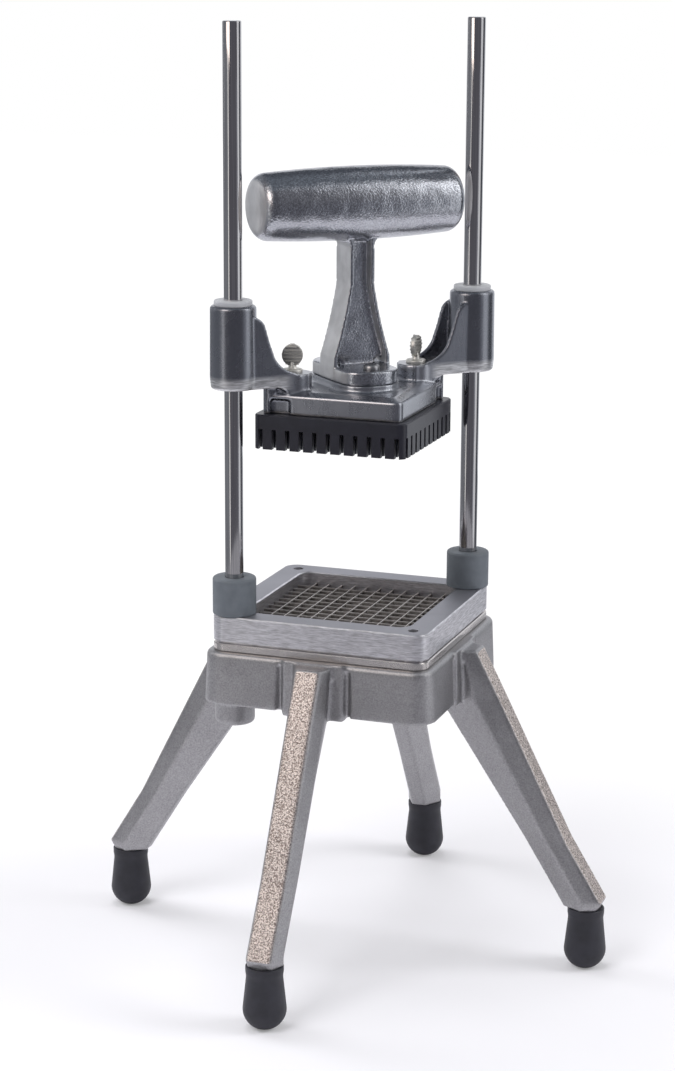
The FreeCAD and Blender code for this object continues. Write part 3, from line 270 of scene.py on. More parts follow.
@dataclass(frozen=True)
class PolishedCasting(Finish):
    """Cast aluminium, belt-polished: dark mirror-like reflections with faint upright polishing lines.

    The lower edge of the arms and sleeves, below the mould's parting line, is only ground, and shows
    short level scratches, and so does the cap's lowest rim. Both are painted paler than the polish: a painted
    sheen on the ground band and a painted highlight along the cap's bottom lip. The sleeves were polished
    with a coarser belt than the cap, so they blur more, and the outer arms and sleeves are painted darker
    than the cap, a painted shade for their dark reflections.
    """

    parting_mm: float = 418.5
    parting_blur_mm: float = 1.6
    band_foot_mm: float = 409.0
    band_starts_mm: float = 55.0
    band_blur_mm: float = 3.0
    rim_mm: float = 393.0
    cloud_mm: float = 16.0
    streak_mm: float = 1.3
    scratch_mm: float = 1.0
    scratch_tone: Span = (0.62, 1.2)
    relief_mm: float = 0.1
    sleeve_roughness: float = 0.27
    ground_roughness: float = 0.42
    # Painted shade: the darker tone of the outer arms and sleeves, for their dark reflections.
    sleeve: str = "#8c8e95"
    # Painted sheen: the paler tone of the ground band and of the cap's lowest rim.
    ground: str = "#d0d0d2"

    def pattern(self, add: Adder, place: Output) -> dict:
        """Streak the polish, and dull and scratch the ground band.

        The ground band and the cap's lowest rim are painted paler, as painted sheen and highlight, and the
        outer arms and sleeves are painted darker, as painted shade.

        Args:
            add: Adds a node.
            place: The point on the object.

        Returns:
            What the shader gets.
        """
        height = add("SeparateXYZ", {0: place}).outputs["Z"]
        along = add("VectorMath", {0: place, 1: DIAGONAL}, operation="DOT_PRODUCT")
        out = add("Math", {0: along}, operation="ABSOLUTE")
        low = add("MapRange", {"Value": height, "From": soft_edge(self.parting_mm, -self.parting_blur_mm)})
        high = add("Math", {0: height, 1: self.band_foot_mm * MM}, operation="GREATER_THAN")
        arm = add("MapRange", {"Value": out, "From": soft_edge(self.band_starts_mm, self.band_blur_mm)})
        band = add("Math", {0: low, 1: high}, operation="MULTIPLY")
        outer = add("Math", {0: band, 1: arm}, operation="MULTIPLY")
        # The cap's lowest rim is painted paler too: a painted highlight along its bottom lip.
        rim = add("Math", {0: height, 1: self.rim_mm * MM}, operation="LESS_THAN")
        below = add("Math", {0: outer, 1: rim}, operation="MAXIMUM")

        cloud = add("TexNoise", {"Vector": place, "Scale": cells(self.cloud_mm), "Detail": 3.0})
        upright = add("Mapping", {"Vector": place, "Scale": (1.0, 1.0, 0.06)})
        streaks = add("TexNoise", {"Vector": upright, "Scale": cells(self.streak_mm), "Detail": 2.0})
        level = add("Mapping", {"Vector": place, "Scale": (0.12, 0.12, 1.0)})
        scratches = add("TexNoise", {"Vector": level, "Scale": cells(self.scratch_mm), "Detail": 2.0})
        belt = add("Mix", {"Factor": arm, "A": self.roughness, "B": self.sleeve_roughness})
        patches = add("MapRange", {"Value": cloud, "To": (-0.06, 0.06)})
        polish = add("Math", {0: belt, 1: patches}, operation="ADD")
        gloss = add("Mix", {"Factor": below, "A": polish, "B": self.ground_roughness})
        # Painted shade: the outer arms and sleeves are painted darker than the cap.
        upper = add("Mix", {"Factor": arm, "A": self.colour, "B": self.sleeve}, data_type="RGBA")
        # Painted light: the ground band and the rim are painted paler, a painted sheen and highlight.
        shade = add("Mix", {"Factor": below, "A": upper, "B": self.ground}, data_type="RGBA")
        marks = add("MapRange", {"Value": scratches, "From": PATCHY, "To": self.scratch_tone})
        marked = add("Mix", {"Factor": below, "A": 1.0, "B": marks})
        tone = add("VectorMath", {0: shade, "Scale": marked}, operation="SCALE")
        relief = add("Mix", {"Factor": below, "A": streaks, "B": scratches})
        skin = add("Bump", {"Height": relief, "Distance": self.relief_mm * MM, "Strength": 0.35})
        return {"Base Color": tone, "Roughness": gloss, "Normal": skin}


@dataclass(frozen=True)
class PebbledCasting(Finish):
    """Cast aluminium, burnished by tumbling: pebbly, with small bright glints and shallow dents.

    The faces that look along the grip, at its ends and down the stem's sides, were ground flat, so they
    are pale and even.
    """

    pebble_mm: float = 1.25
    pebble_depth_mm: float = 0.24
    pebble_tone: Span = (0.74, 1.14)
    dent_mm: float = 9.0
    dent_depth_mm: float = 0.4
    cloud_mm: float = 14.0
    ground: str = "#c6c6c8"
    ground_roughness: float = 0.5
    ground_facing: Span = (0.82, 0.95)
    ground_tone: Span = (0.84, 1.06)

    def pattern(self, add: Adder, place: Output) -> dict:
        """Pebble and dent the surface, except its ground faces.

        Args:
            add: Adds a node.
            place: The point on the object.

        Returns:
            What the shader gets.
        """
        facing = add("VectorMath", {
            0: add("NewGeometry").outputs["Normal"], 1: DIAGONAL}, operation="DOT_PRODUCT")
        along = add("Math", {0: facing}, operation="ABSOLUTE")
        flat = add("MapRange", {"Value": along, "From": self.ground_facing})
        pebbles = add("TexNoise", {
            "Vector": place, "Scale": cells(self.pebble_mm), "Detail": 1.0, "Roughness": 0.6})
        dents = add("TexNoise", {"Vector": place, "Scale": cells(self.dent_mm), "Detail": 0.0})
        cloud = add("TexNoise", {"Vector": place, "Scale": cells(self.cloud_mm), "Detail": 3.0})
        tone = add("Mix", {"Factor": flat, "A": self.colour, "B": self.ground}, data_type="RGBA")
        spots = add("MapRange", {"Value": pebbles, "From": SPECKLED, "To": self.pebble_tone})
        worn = add("MapRange", {"Value": cloud, "From": PATCHY, "To": self.ground_tone})
        even = add("Mix", {"Factor": flat, "A": spots, "B": worn})
        shade = add("VectorMath", {0: tone, "Scale": even}, operation="SCALE")
        depth = add("MapRange", {"Value": flat, "To": (1.0, 0.12)})
        patches = add("MapRange", {"Value": cloud, "From": PATCHY, "To": (0.4, 1.0)})
        strength = add("Math", {0: depth, 1: patches}, operation="MULTIPLY")
        dented = add("Bump", {"Height": dents, "Distance": self.dent_depth_mm * MM, "Strength": depth})
        skin = add("Bump", {
            "Height": pebbles, "Distance": self.pebble_depth_mm * MM, "Strength": strength, "Normal": dented})
        gloss = add("Mix", {"Factor": flat, "A": self.roughness, "B": self.ground_roughness})
        return {"Base Color": shade, "Roughness": gloss, "Normal": skin}


@dataclass(frozen=True)
class DrawnBar(Finish):
    """Stainless bar, drawn and polished lengthwise: clear mirror lines, softened only round the bar."""

    line_mm: float = 0.6
    line_depth_mm: float = 0.04
    line_tone: Span = (0.82, 1.08)

    def pattern(self, add: Adder, place: Output) -> dict:
        """Line the bar down its length, drawn coarser than the real lines so that they show.

        Args:
            add: Adds a node.
            place: The point on the object.

        Returns:
            What the shader gets.
        """
        upright = add("Mapping", {"Vector": place, "Scale": (1.0, 1.0, 0.008)})
        lines = add("TexNoise", {"Vector": upright, "Scale": cells(self.line_mm), "Detail": 2.0})
        spread = add("MapRange", {"Value": lines, "From": PATCHY, "To": self.line_tone})
        shade = add("VectorMath", {0: linear(self.colour)[:3], "Scale": spread}, operation="SCALE")
        skin = add("Bump", {"Height": lines, "Distance": self.line_depth_mm * MM, "Strength": 0.4})
        return {"Base Color": shade, "Normal": skin}


@dataclass(frozen=True)
class BrushedPlate(Finish):
    """Aluminium plate: belt-brushed level lines round its sides, and a dull beaded top.

    The top is painted darker than the sides and chamfers: painted shade on the top, painted sheen on the
    sides.
    """

    # Painted shade: the top's darker tone; the sides' paler colour is painted sheen.
    top: str = "#a4a4ab"
    top_roughness: float = 0.5
    top_facing: Span = (0.75, 0.95)
    top_tone: Span = (0.93, 1.05)
    bead_mm: float = 0.9
    cloud_mm: float = 30.0
    line_mm: float = 0.85
    line_tone: Span = (0.6, 1.2)
    relief_mm: float = 0.16

    def pattern(self, add: Adder, place: Output) -> dict:
        """Brush the sides along their length, and dull the top.

        The colour switches with facing: painted shade on the top, painted sheen on the sides and chamfers.

        Args:
            add: Adds a node.
            place: The point on the object.

        Returns:
            What the shader gets.
        """
        upward = add("SeparateXYZ", {0: add("NewGeometry").outputs["Normal"]}).outputs["Z"]
        flat = add("MapRange", {"Value": upward, "From": self.top_facing})
        level = add("Mapping", {"Vector": place, "Scale": (0.1, 0.1, 1.0)})
        lines = add("TexNoise", {"Vector": level, "Scale": cells(self.line_mm), "Detail": 3.0, "Roughness": 0.7})
        beads = add("TexNoise", {"Vector": place, "Scale": cells(self.bead_mm), "Detail": 2.0, "Roughness": 0.6})
        cloud = add("TexNoise", {"Vector": place, "Scale": cells(self.cloud_mm), "Detail": 4.0})
        # Painted light: darker on the top (painted shade), paler on the sides and chamfers (painted sheen).
        pale = add("Mix", {"Factor": flat, "A": self.colour, "B": self.top}, data_type="RGBA")
        streak = add("MapRange", {"Value": lines, "From": CLOUDY, "To": self.line_tone})
        patch = add("MapRange", {"Value": cloud, "From": CLOUDY, "To": self.top_tone})
        spread = add("Mix", {"Factor": flat, "A": streak, "B": patch})
        shade = add("VectorMath", {0: pale, "Scale": spread}, operation="SCALE")
        gloss = add("Mix", {"Factor": flat, "A": self.roughness, "B": self.top_roughness})
        relief = add("Mix", {"Factor": flat, "A": lines, "B": beads})
        skin = add("Bump", {"Height": relief, "Distance": self.relief_mm * MM, "Strength": 0.5})
        return {"Base Color": shade, "Roughness": gloss, "Normal": skin}


@dataclass(frozen=True)
class RolledSheet(Finish):
    """Rolled metal sheet or plated steel: even and smooth, with faint patches of shine."""

    patch_mm: float = 12.0
    grain_mm: float = 0.9
    grain_depth_mm: float = 0.1
    relief: float = 0.15

    def pattern(self, add: Adder, place: Output) -> dict:
        """Vary the shine in patches, and break it with fine grain.

        Args:
            add: Adds a node.
            place: The point on the object.

        Returns:
            What the shader gets.
        """
        cloud = add("TexNoise", {"Vector": place, "Scale": cells(self.patch_mm), "Detail": 4.0})
        grain = add("TexNoise", {"Vector": place, "Scale": cells(self.grain_mm), "Detail": 2.0})
        gloss = add("MapRange", {"Value": cloud, "To": (self.roughness - 0.07, self.roughness + 0.09)})
        skin = add("Bump", {"Height": grain, "Distance": self.grain_depth_mm * MM, "Strength": self.relief})
        return {"Roughness": gloss, "Normal": skin}


@dataclass(frozen=True)
class GroundBlade(Finish):
    """Hardened blade strip: brownish grey with dull patches, and bright where its edge was ground."""

    edge: str = "#d6d2cf"
    edge_mm: float = 244.2
    edge_blur_mm: float = 0.3
    stain: str = "#85807c"
    stain_mm: float = 5.0
    stain_depth_mm: float = 0.2

    def pattern(self, add: Adder, place: Output) -> dict:
        """Stain the strip in patches, and brighten it along its cutting edge.

        Args:
            add: Adds a node.
            place: The point on the object.

        Returns:
            What the shader gets.
        """
        height = add("SeparateXYZ", {0: place}).outputs["Z"]
        top = add("MapRange", {"Value": height, "From": soft_edge(self.edge_mm, self.edge_blur_mm)})
        cloud = add("TexNoise", {"Vector": place, "Scale": cells(self.stain_mm), "Detail": 4.0})
        patch = add("MapRange", {"Value": cloud, "From": PATCHY})
        strip = add("Mix", {"Factor": patch, "A": self.stain, "B": self.colour}, data_type="RGBA")
        tone = add("Mix", {"Factor": top, "A": strip, "B": self.edge}, data_type="RGBA")
        skin = add("Bump", {"Height": cloud, "Distance": self.stain_depth_mm * MM, "Strength": 0.4})
        return {"Base Color": tone, "Normal": skin}


@dataclass(frozen=True)
class Moulded(Finish):
    """Moulded rubber or plastic: dull, with a fine skin texture and slight cloudiness."""

    metallic: float = 0.0
    pale: str = "#3a3a42"
    cloud_mm: float = 9.0
    grain_mm: float = 0.9
    grain_depth_mm: float = 0.12
    relief: float = 0.25
    level: float = 0.35

    def pattern(self, add: Adder, place: Output) -> dict:
        """Cloud the colour between two near tones, and grain the skin.

        Args:
            add: Adds a node.
            place: The point on the object.

        Returns:
            What the shader gets.
        """
        cloud = add("TexNoise", {"Vector": place, "Scale": cells(self.cloud_mm), "Detail": 4.0})
        grain = add("TexNoise", {"Vector": place, "Scale": cells(self.grain_mm), "Detail": 2.0, "Roughness": 0.7})
        tone = add("MapRange", {"Value": cloud, "From": CLOUDY})
        shade = add("Mix", {"Factor": tone, "A": self.colour, "B": self.pale}, data_type="RGBA")
        skin = add("Bump", {"Height": grain, "Distance": self.grain_depth_mm * MM, "Strength": self.relief})
        return {"Base Color": shade, "Specular IOR Level": self.level, "Normal": skin}


CAST_FRAME = TumbledCasting("tumbled_cast_aluminium", "#b0afb1", 0.42)
PUSHER_CASTING = PolishedCasting("polished_cast_aluminium", "#a6a8ae", 0.28)
HANDLE_CASTING = PebbledCasting("burnished_cast_aluminium", "#b2b4ba", 0.22)
ROD_STEEL = DrawnBar("drawn_stainless_steel", "#c7c5c6", 0.08)
FRAME_PLATE = BrushedPlate("brushed_aluminium_plate", "#dad9dd", 0.36)
SEAT_PLATE = RolledSheet("polished_aluminium_plate", "#d0cbc8", 0.24)
BLADE_STEEL = GroundBlade("hardened_blade_steel", "#bdb8b5", 0.4)
SCREW_STEEL = RolledSheet("zinc_plated_steel", "#a2a2a4", 0.3)
OXIDE_STEEL = RolledSheet("black_oxide_steel", "#3c3c40", 0.4)
THUMB_STEEL = RolledSheet("pressed_plated_steel", "#d2d0ca", 0.46)
BUMPER_RUBBER = Moulded("grey_nitrile_rubber", "#60666d", 0.55, pale="#6b7178")
FOOT_RUBBER = Moulded("black_moulded_rubber", "#29292f", 0.5, pale="#313139")
HEAD_PLASTIC = Moulded("black_moulded_acetal", "#1b1b24", 0.34, pale="#22222c", level=0.5, relief=0.12)
BUSHING_NYLON = Moulded("natural_nylon", "#a9aaaf", 0.45, pale="#b4b6ba", relief=0.1)


# -------------------- shapes


def wire(mesh: Shape, points: list[Corner], closed: bool) -> None:
    """Draw a half section in the XZ plane and round its corners.

    Args:
        mesh: The mesh to draw in.
        points: Radius, height and corner rounding of each corner, in millimetres.
        closed: Whether the last corner joins the first.
    """
    wide_round, fine_steps, few_steps = 3.0, 8, 4
    corners = [mesh.verts.new((radius * MM, 0, height * MM)) for radius, height, _ in points]
    ends = corners[1:] + (corners[:1] if closed else [])
    for start, end in zip(corners, ends):
        mesh.edges.new((start, end))
    for corner, (_, _, rounding) in zip(corners, points):
        if rounding:
            bmesh.ops.bevel(mesh, geom=[corner], offset=rounding * MM, affect="VERTICES",
                            segments=fine_steps if rounding > wide_round else few_steps,
                            profile=0.5, material=-1)


def turned(points: list[Corner], closed: bool = False, steps: int = 72) -> Shape:
    """Turn a half section about Z.

    Args:
        points: Radius, height and corner rounding of each corner, in millimetres.
        closed: Whether the section is a closed ring away from the axis.
        steps: Facets round the axis.

    Returns:
        The turned shape, its seam and poles closed.
    """
    mesh = bmesh.new()
    wire(mesh, points, closed)
    bmesh.ops.spin(mesh, geom=mesh.verts[:] + mesh.edges[:], cent=(0, 0, 0), axis=(0, 0, 1), dvec=(0, 0, 0),
                   angle=2 * math.pi, steps=steps, use_merge=True, use_duplicate=False)
    bmesh.ops.remove_doubles(mesh, verts=mesh.verts[:], dist=WELD * MM)
    bmesh.ops.recalc_face_normals(mesh, faces=mesh.faces[:])
    return mesh


def move(mesh: Shape, x: float, y: float, z: float = 0.0) -> None:
    """Shift a whole shape, in millimetres."""
    bmesh.ops.translate(mesh, vec=Vector((x, y, z)) * MM, verts=mesh.verts[:])


def move_to(side: Side, mesh: Shape, offset: float = ROD_OFFSET) -> None:
    """Shift a whole shape from the origin along the diagonal; the offset is along X and along Y."""
    move(mesh, side.value * offset, side.value * offset)


def cut(mesh: Shape, place: Vector, facing: Vector) -> None:
    """Score a whole shape along a plane, so that its faces end there; the place is in millimetres."""
    bmesh.ops.bisect_plane(mesh, geom=mesh.verts[:] + mesh.edges[:] + mesh.faces[:], plane_co=place * MM,
                           plane_no=facing, dist=WELD * MM)


def melt(mesh: Shape, verts: list[bmesh.types.BMVert], rounds: int) -> None:
    """Smooth some of a shape's vertices a number of times."""
    for _ in range(rounds):
        bmesh.ops.smooth_vert(mesh, verts=verts, factor=0.5, use_axis_x=True, use_axis_y=True, use_axis_z=True)


def grown_verts(mesh: Shape, faces: list[bmesh.types.BMFace]) -> list[bmesh.types.BMVert]:
    """Extrude faces where they are, and hand out the new vertices."""
    grown = bmesh.ops.extrude_face_region(mesh, geom=faces)
    return [item for item in grown["geom"] if isinstance(item, bmesh.types.BMVert)]


def take_in(whole: Shape, part: Shape) -> None:
    """Add a shape to another.

    Args:
        whole: The shape that grows.
        part: The shape that goes in. It is freed.
    """
    spare = bpy.data.meshes.new("spare")
    part.to_mesh(spare)
    part.free()
    whole.from_mesh(spare)
    bpy.data.meshes.remove(spare)


def into_scene(name: str, mesh: Shape, material: bpy.types.Material) -> bpy.types.Object:
    """Turn a shape into an object of the scene.

    Args:
        name: The object's name.
        mesh: Its shape, in its own place. It is freed.
        material: Its only material.

    Returns:
        The object.
    """
    data = bpy.data.meshes.new(name)
    mesh.to_mesh(data)
    mesh.free()
    data.materials.append(material)
    made = bpy.data.objects.new(name, data)
    bpy.context.scene.collection.objects.link(made)
    return made


def cast_skin(node: str, voxel_mm: float, rounds: int, most_triangles: int) -> Shape:
    """Copy a CAD casting and round its edges as sand casting and tumbling leave them.

    Args:
        node: The CAD node that is copied.
        voxel_mm: Detail kept, in millimetres.
        rounds: How often the skin is smoothed.
        most_triangles: The copy's limit of triangles.

    Returns:
        The rounded copy.
    """
    shape = bmesh.new()
    shape.from_mesh(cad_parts[node].data)
    bmesh.ops.remove_doubles(shape, verts=shape.verts[:], dist=CAD_WELD * MM)
    data = bpy.data.meshes.new(f"{node}_core")
    shape.to_mesh(data)
    shape.free()
    holder = bpy.data.objects.new(f"{node}_core", data)
    bpy.context.scene.collection.objects.link(holder)
    skin = holder.modifiers.new("skin", "REMESH")
    skin.mode = "VOXEL"
    skin.voxel_size = voxel_mm * MM
    tumbled = holder.modifiers.new("tumbled", "SMOOTH")
    tumbled.factor = 0.5
    tumbled.iterations = rounds
    triangles = 2 * len(holder.evaluated_get(bpy.context.evaluated_depsgraph_get()).data.polygons)
    if triangles > most_triangles:
        thinned = holder.modifiers.new("thinned", "DECIMATE")
        thinned.ratio = most_triangles / triangles
    final = bmesh.new()
    final.from_mesh(holder.evaluated_get(bpy.context.evaluated_depsgraph_get()).data)
    bpy.data.objects.remove(holder)
    return final


@dataclass(frozen=True)
class Piece:
    """A finished piece: where it rides, what it stands for and how it is dressed."""

    name: str
    body: Body
    slot: str
    finish: Finish
    stands_for: str
    crease: float = 35.0

    def place(self, mesh: Shape) -> None:
        """Turn a shape into a dressed object that rides on its body.

        Args:
            mesh: The shape, in its own place. It is freed.
        """
        made = into_scene(self.name, mesh, self.finish.material())
        made.data.shade_smooth()
        made.data.set_sharp_from_angle(angle=math.radians(self.crease))
        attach(made, self.body.value)
        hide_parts(self.stands_for)
        log.info("%s: %d faces on %s", self.name, len(made.data.polygons), self.body.value)


def dress(node: str, finish: Finish) -> None:
    """Give a CAD node that stays its own finish.

    Args:
        node: The CAD node.
        finish: Its finish.
    """
    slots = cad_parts[node].data.materials
    slots.clear()
    slots.append(finish.material())
    log.info("%s: kept, in %s", node, finish.name)


# -------------------- the stand


@dataclass
class Stand:
    """Everything that stands still: casting, feet, plates, blades, rods, bumpers and their screws."""

    rod_radius: float = 6.35
    rod_foot: float = 187.0
    rod_top: float = 655.7
    tap_radius: float = 4.05
    tap_top: float = 200.0
    frame_top: float = 252.7
    bumper_bore: float = 6.45
    bumper_radius: float = 15.1
    bumper_top: float = 278.6
    foot_offset: float = 175.1
    foot_sole: float = 5.0
    foot_widest: float = 14.8
    foot_widest_from: float = 3.53
    foot_widest_to: float = 13.93
    foot_heel_round: float = 9.4
    foot_neck: float = 12.3
    foot_neck_height: float = 37.5
    foot_rim: float = 12.9
    foot_rim_height: float = 40.0
    foot_height: float = 44.5
    socket_radius: float = 10.5
    socket_bottom: float = 14.0
    bearings: dict[str, int] = field(default_factory=lambda: {"right": 0, "back": 90, "left": 180, "front": 270})
    kept: dict[str, Finish] = field(default_factory=lambda: {
        "seat_plate": SEAT_PLATE, "blade_frame": FRAME_PLATE, "cross_blades": BLADE_STEEL,
        "lengthwise_blades": BLADE_STEEL, "frame_screws": OXIDE_STEEL, "rod_screws": SCREW_STEEL})

    def build(self) -> None:
        """Build and dress the whole stand."""
        self.build_casting()
        for side in self.bearings:
            self.build_foot(side)
        for side in Side:
            self.build_rod(side)
            self.build_bumper(side)
        for node, finish in self.kept.items():
            dress(node, finish)

    def build_casting(self) -> None:
        """The base casting with its legs, its edges rounded by casting and tumbling."""
        skin = cast_skin("base_casting", voxel_mm=1.25, rounds=5, most_triangles=190000)
        Piece("base_casting_skin", Body.STAND, "cast_frame", CAST_FRAME, "base_casting", CAST_CREASE).place(skin)

    def build_foot(self, side: str) -> None:
        """A moulded rubber foot with a rounded heel and a rim round its mouth.

        Args:
            side: The side of the base that the foot stands at.
        """
        foot = turned([
            (0, 0, 0), (self.foot_sole, 0, 0.8), (self.foot_widest, self.foot_widest_from, self.foot_heel_round),
            (self.foot_widest, self.foot_widest_to, 1.0), (self.foot_neck, self.foot_neck_height, 2),
            (self.foot_rim, self.foot_rim_height, 0.8), (self.foot_rim, self.foot_height, 0.9),
            (self.socket_radius, self.foot_height, 0.3), (self.socket_radius, self.socket_bottom, 0),
            (0, self.socket_bottom, 0),
        ])
        bearing = math.radians(self.bearings[side])
        move(foot, self.foot_offset * math.cos(bearing), self.foot_offset * math.sin(bearing))
        Piece(f"{side}_foot_rubber", Body.STAND, "feet", FOOT_RUBBER, f"{side}_foot").place(foot)

    def build_rod(self, side: Side) -> None:
        """A drawn guide rod with a small round at its top and a tapped foot.

        Args:
            side: The end of the diagonal that the rod stands at.
        """
        rod = turned([
            (0, self.tap_top, 0), (self.tap_radius, self.tap_top, 0), (self.tap_radius, self.rod_foot, 0),
            (self.rod_radius, self.rod_foot, 0.5), (self.rod_radius, self.rod_top, 0.9), (0, self.rod_top, 0),
        ])
        move_to(side, rod)
        Piece(f"{side}_rod_bar", Body.STAND, "rods", ROD_STEEL, f"{side}_guide_rod").place(rod)

    def build_bumper(self, side: Side) -> None:
        """A rubber stop round the foot of a rod, its edges rounded by its mould.

        Args:
            side: The end of the diagonal that the rod stands at.
        """
        bumper = turned([
            (self.bumper_bore, self.frame_top, 0), (self.bumper_radius, self.frame_top, 1.0),
            (self.bumper_radius, self.bumper_top, 1.6), (self.bumper_bore, self.bumper_top, 0.5),
        ], closed=True)
        move_to(side, bumper)
        Piece(f"{side}_bumper_rubber", Body.STAND, "bumpers", BUMPER_RUBBER, f"{side}_bumper").place(bumper)


# -------------------- the pusher


@dataclass
class Pusher:
    """Everything that slides: casting, bushings, toothed head and handle."""

    bore: float = 6.4
    bushing_radius: float = 9.5
    bushing_flange: float = 13.1
    bushing_length: float = 20.0
    sleeve_top: float = 467.5
    flange_top: float = 471.0
    lower_bushing: float = 411.1
    screw_offset: float = 26.5
    screw_tip: float = 399.7
    screw_shank: float = 2.5
    screw_seat: float = 421.2
    screw_head: float = 5.6
    screw_head_height: float = 3.9
    screw_head_round: float = 2.6
    recess_arm: float = 2.6
    recess_half: float = 0.55
    recess_depth: float = 1.4
    stem_depth: float = 11.5
    stem_foot: float = 428.0
    stem_foot_half: float = 21.2
    stem_waist: float = 478.0
    stem_waist_half: float = 9.1
    stem_top: float = 512.0
    flange_edge: float = 1.6
    flange_lip: float = 1.2
    fillet_rounds: int = 14
    pocket_from: float = 30.0
    pocket_to: float = 52.0
    pocket_foot: float = 392.5
    pocket_top: float = 416.0
    pocket_rounds: int = 3

    def build(self) -> None:
        """Build and dress the whole pusher."""
        casting = cast_skin("pusher_casting", voxel_mm=0.9, rounds=4, most_triangles=190000)
        self.melt_pockets(casting)
        Piece("pusher_casting_skin", Body.PUSHER, "pusher_casting", PUSHER_CASTING, "pusher_casting",
              CAST_CREASE).place(casting)
        handle = cast_skin("handle", voxel_mm=0.85, rounds=4, most_triangles=170000)
        self.fillet_hollows(handle)
        Piece("handle_skin", Body.PUSHER, "handle", HANDLE_CASTING, "handle", CAST_CREASE).place(handle)
        for side in Side:
            self.build_bushings(side)
        self.build_handle_screws()
        dress("pusher_head", HEAD_PLASTIC)

    def melt_pockets(self, casting: Shape) -> None:
        """Melt the small steps where the arms run down into the cap's corners.

        Args:
            casting: The pusher casting's skin.
        """
        steps = []
        for vert in casting.verts:
            x, y, z = (abs(value) / MM for value in vert.co)
            same_sign = vert.co.x * vert.co.y > 0
            if same_sign and min(x, y) > self.pocket_from and max(x, y) < self.pocket_to \
                    and self.pocket_foot < z < self.pocket_top:
                steps.append(vert)
        melt(casting, steps, self.pocket_rounds)

    def fillet_hollows(self, handle: Shape) -> None:
        """Melt the stem's sunk webs into their flanges and the base, as the pattern's fillets do.

        Args:
            handle: The handle's skin.
        """
        hollow = []
        for vert in handle.verts:
            x, y, z = vert.co / MM
            along, across = abs(x + y) * ROOT_HALF, abs(x - y) * ROOT_HALF
            if along < self.stem_edge(z) - self.flange_edge and across < self.stem_depth - self.flange_lip \
                    and self.screw_seat - 1 < z < self.stem_top:
                hollow.append(vert)
        melt(handle, hollow, self.fillet_rounds)

    def stem_edge(self, height: float) -> float:
        """Half width of the stem at a height, in millimetres."""
        rise = min(max((height - self.stem_foot) / (self.stem_waist - self.stem_foot), 0.0), 1.0)
        return self.stem_foot_half + (self.stem_waist_half - self.stem_foot_half) * rise

    def build_bushings(self, side: Side) -> None:
        """The flanged bushing in a sleeve's upper end and the plain one in its lower end.

        Args:
            side: The end of the diagonal that the sleeve stands at.
        """
        low = self.sleeve_top - self.bushing_length
        upper = turned([
            (self.bore, low, 0), (self.bushing_radius, low, 0), (self.bushing_radius, self.sleeve_top, 0),
            (self.bushing_flange, self.sleeve_top, 0.2), (self.bushing_flange, self.flange_top, 1.0),
            (self.bore, self.flange_top, 0.5),
        ], closed=True)
        plain_top = self.lower_bushing + self.bushing_length
        lower = turned([
            (self.bore, self.lower_bushing, 0.4), (self.bushing_radius, self.lower_bushing, 0.4),
            (self.bushing_radius, plain_top, 0), (self.bore, plain_top, 0),
        ], closed=True)
        for level, bushing in (("upper", upper), ("lower", lower)):
            move_to(side, bushing)
            Piece(f"{side}_{level}_bushing_ring", Body.PUSHER, "bushings", BUSHING_NYLON,
                  f"{side}_{level}_bushing").place(bushing)

    def build_handle_screws(self) -> None:
        """Two pan-head screws through the handle's base."""
        reach = self.screw_offset * ROOT_HALF
        head_top = self.screw_seat + self.screw_head_height
        both = bmesh.new()
        for sign in (-1, 1):
            screw = turned([
                (0, self.screw_tip, 0), (self.screw_shank, self.screw_tip, 0),
                (self.screw_shank, self.screw_seat, 0), (self.screw_head, self.screw_seat, 0.3),
                (self.screw_head, head_top, self.screw_head_round), (0, head_top, 0),
            ], steps=48)
            self.cut_cross(screw)
            move(screw, sign * reach, -sign * reach)
            take_in(both, screw)
        Piece("handle_pan_screws", Body.PUSHER, "screws", SCREW_STEEL, "handle_screws").place(both)

    def cut_cross(self, screw: Shape) -> None:
        """Sink a cross-shaped driver recess in a screw's head.

        Args:
            screw: The screw, still over the origin.
        """
        for axis in (Vector((1, 0, 0)), Vector((0, 1, 0))):
            for reach in (-self.recess_arm, -self.recess_half, self.recess_half, self.recess_arm):
                cut(screw, axis * reach, axis)
        cross = []
        for face in screw.faces:
            middle = face.calc_center_median() / MM
            near, far = sorted((abs(middle.x), abs(middle.y)))
            if middle.z > self.screw_seat + 3 and near < self.recess_half and far < self.recess_arm:
                cross.append(face)
        floor = grown_verts(screw, cross)
        bmesh.ops.delete(screw, geom=cross, context="FACES_ONLY")
        bmesh.ops.translate(screw, vec=Vector((0, 0, -self.recess_depth)) * MM, verts=floor)
        bmesh.ops.recalc_face_normals(screw, faces=screw.faces[:])


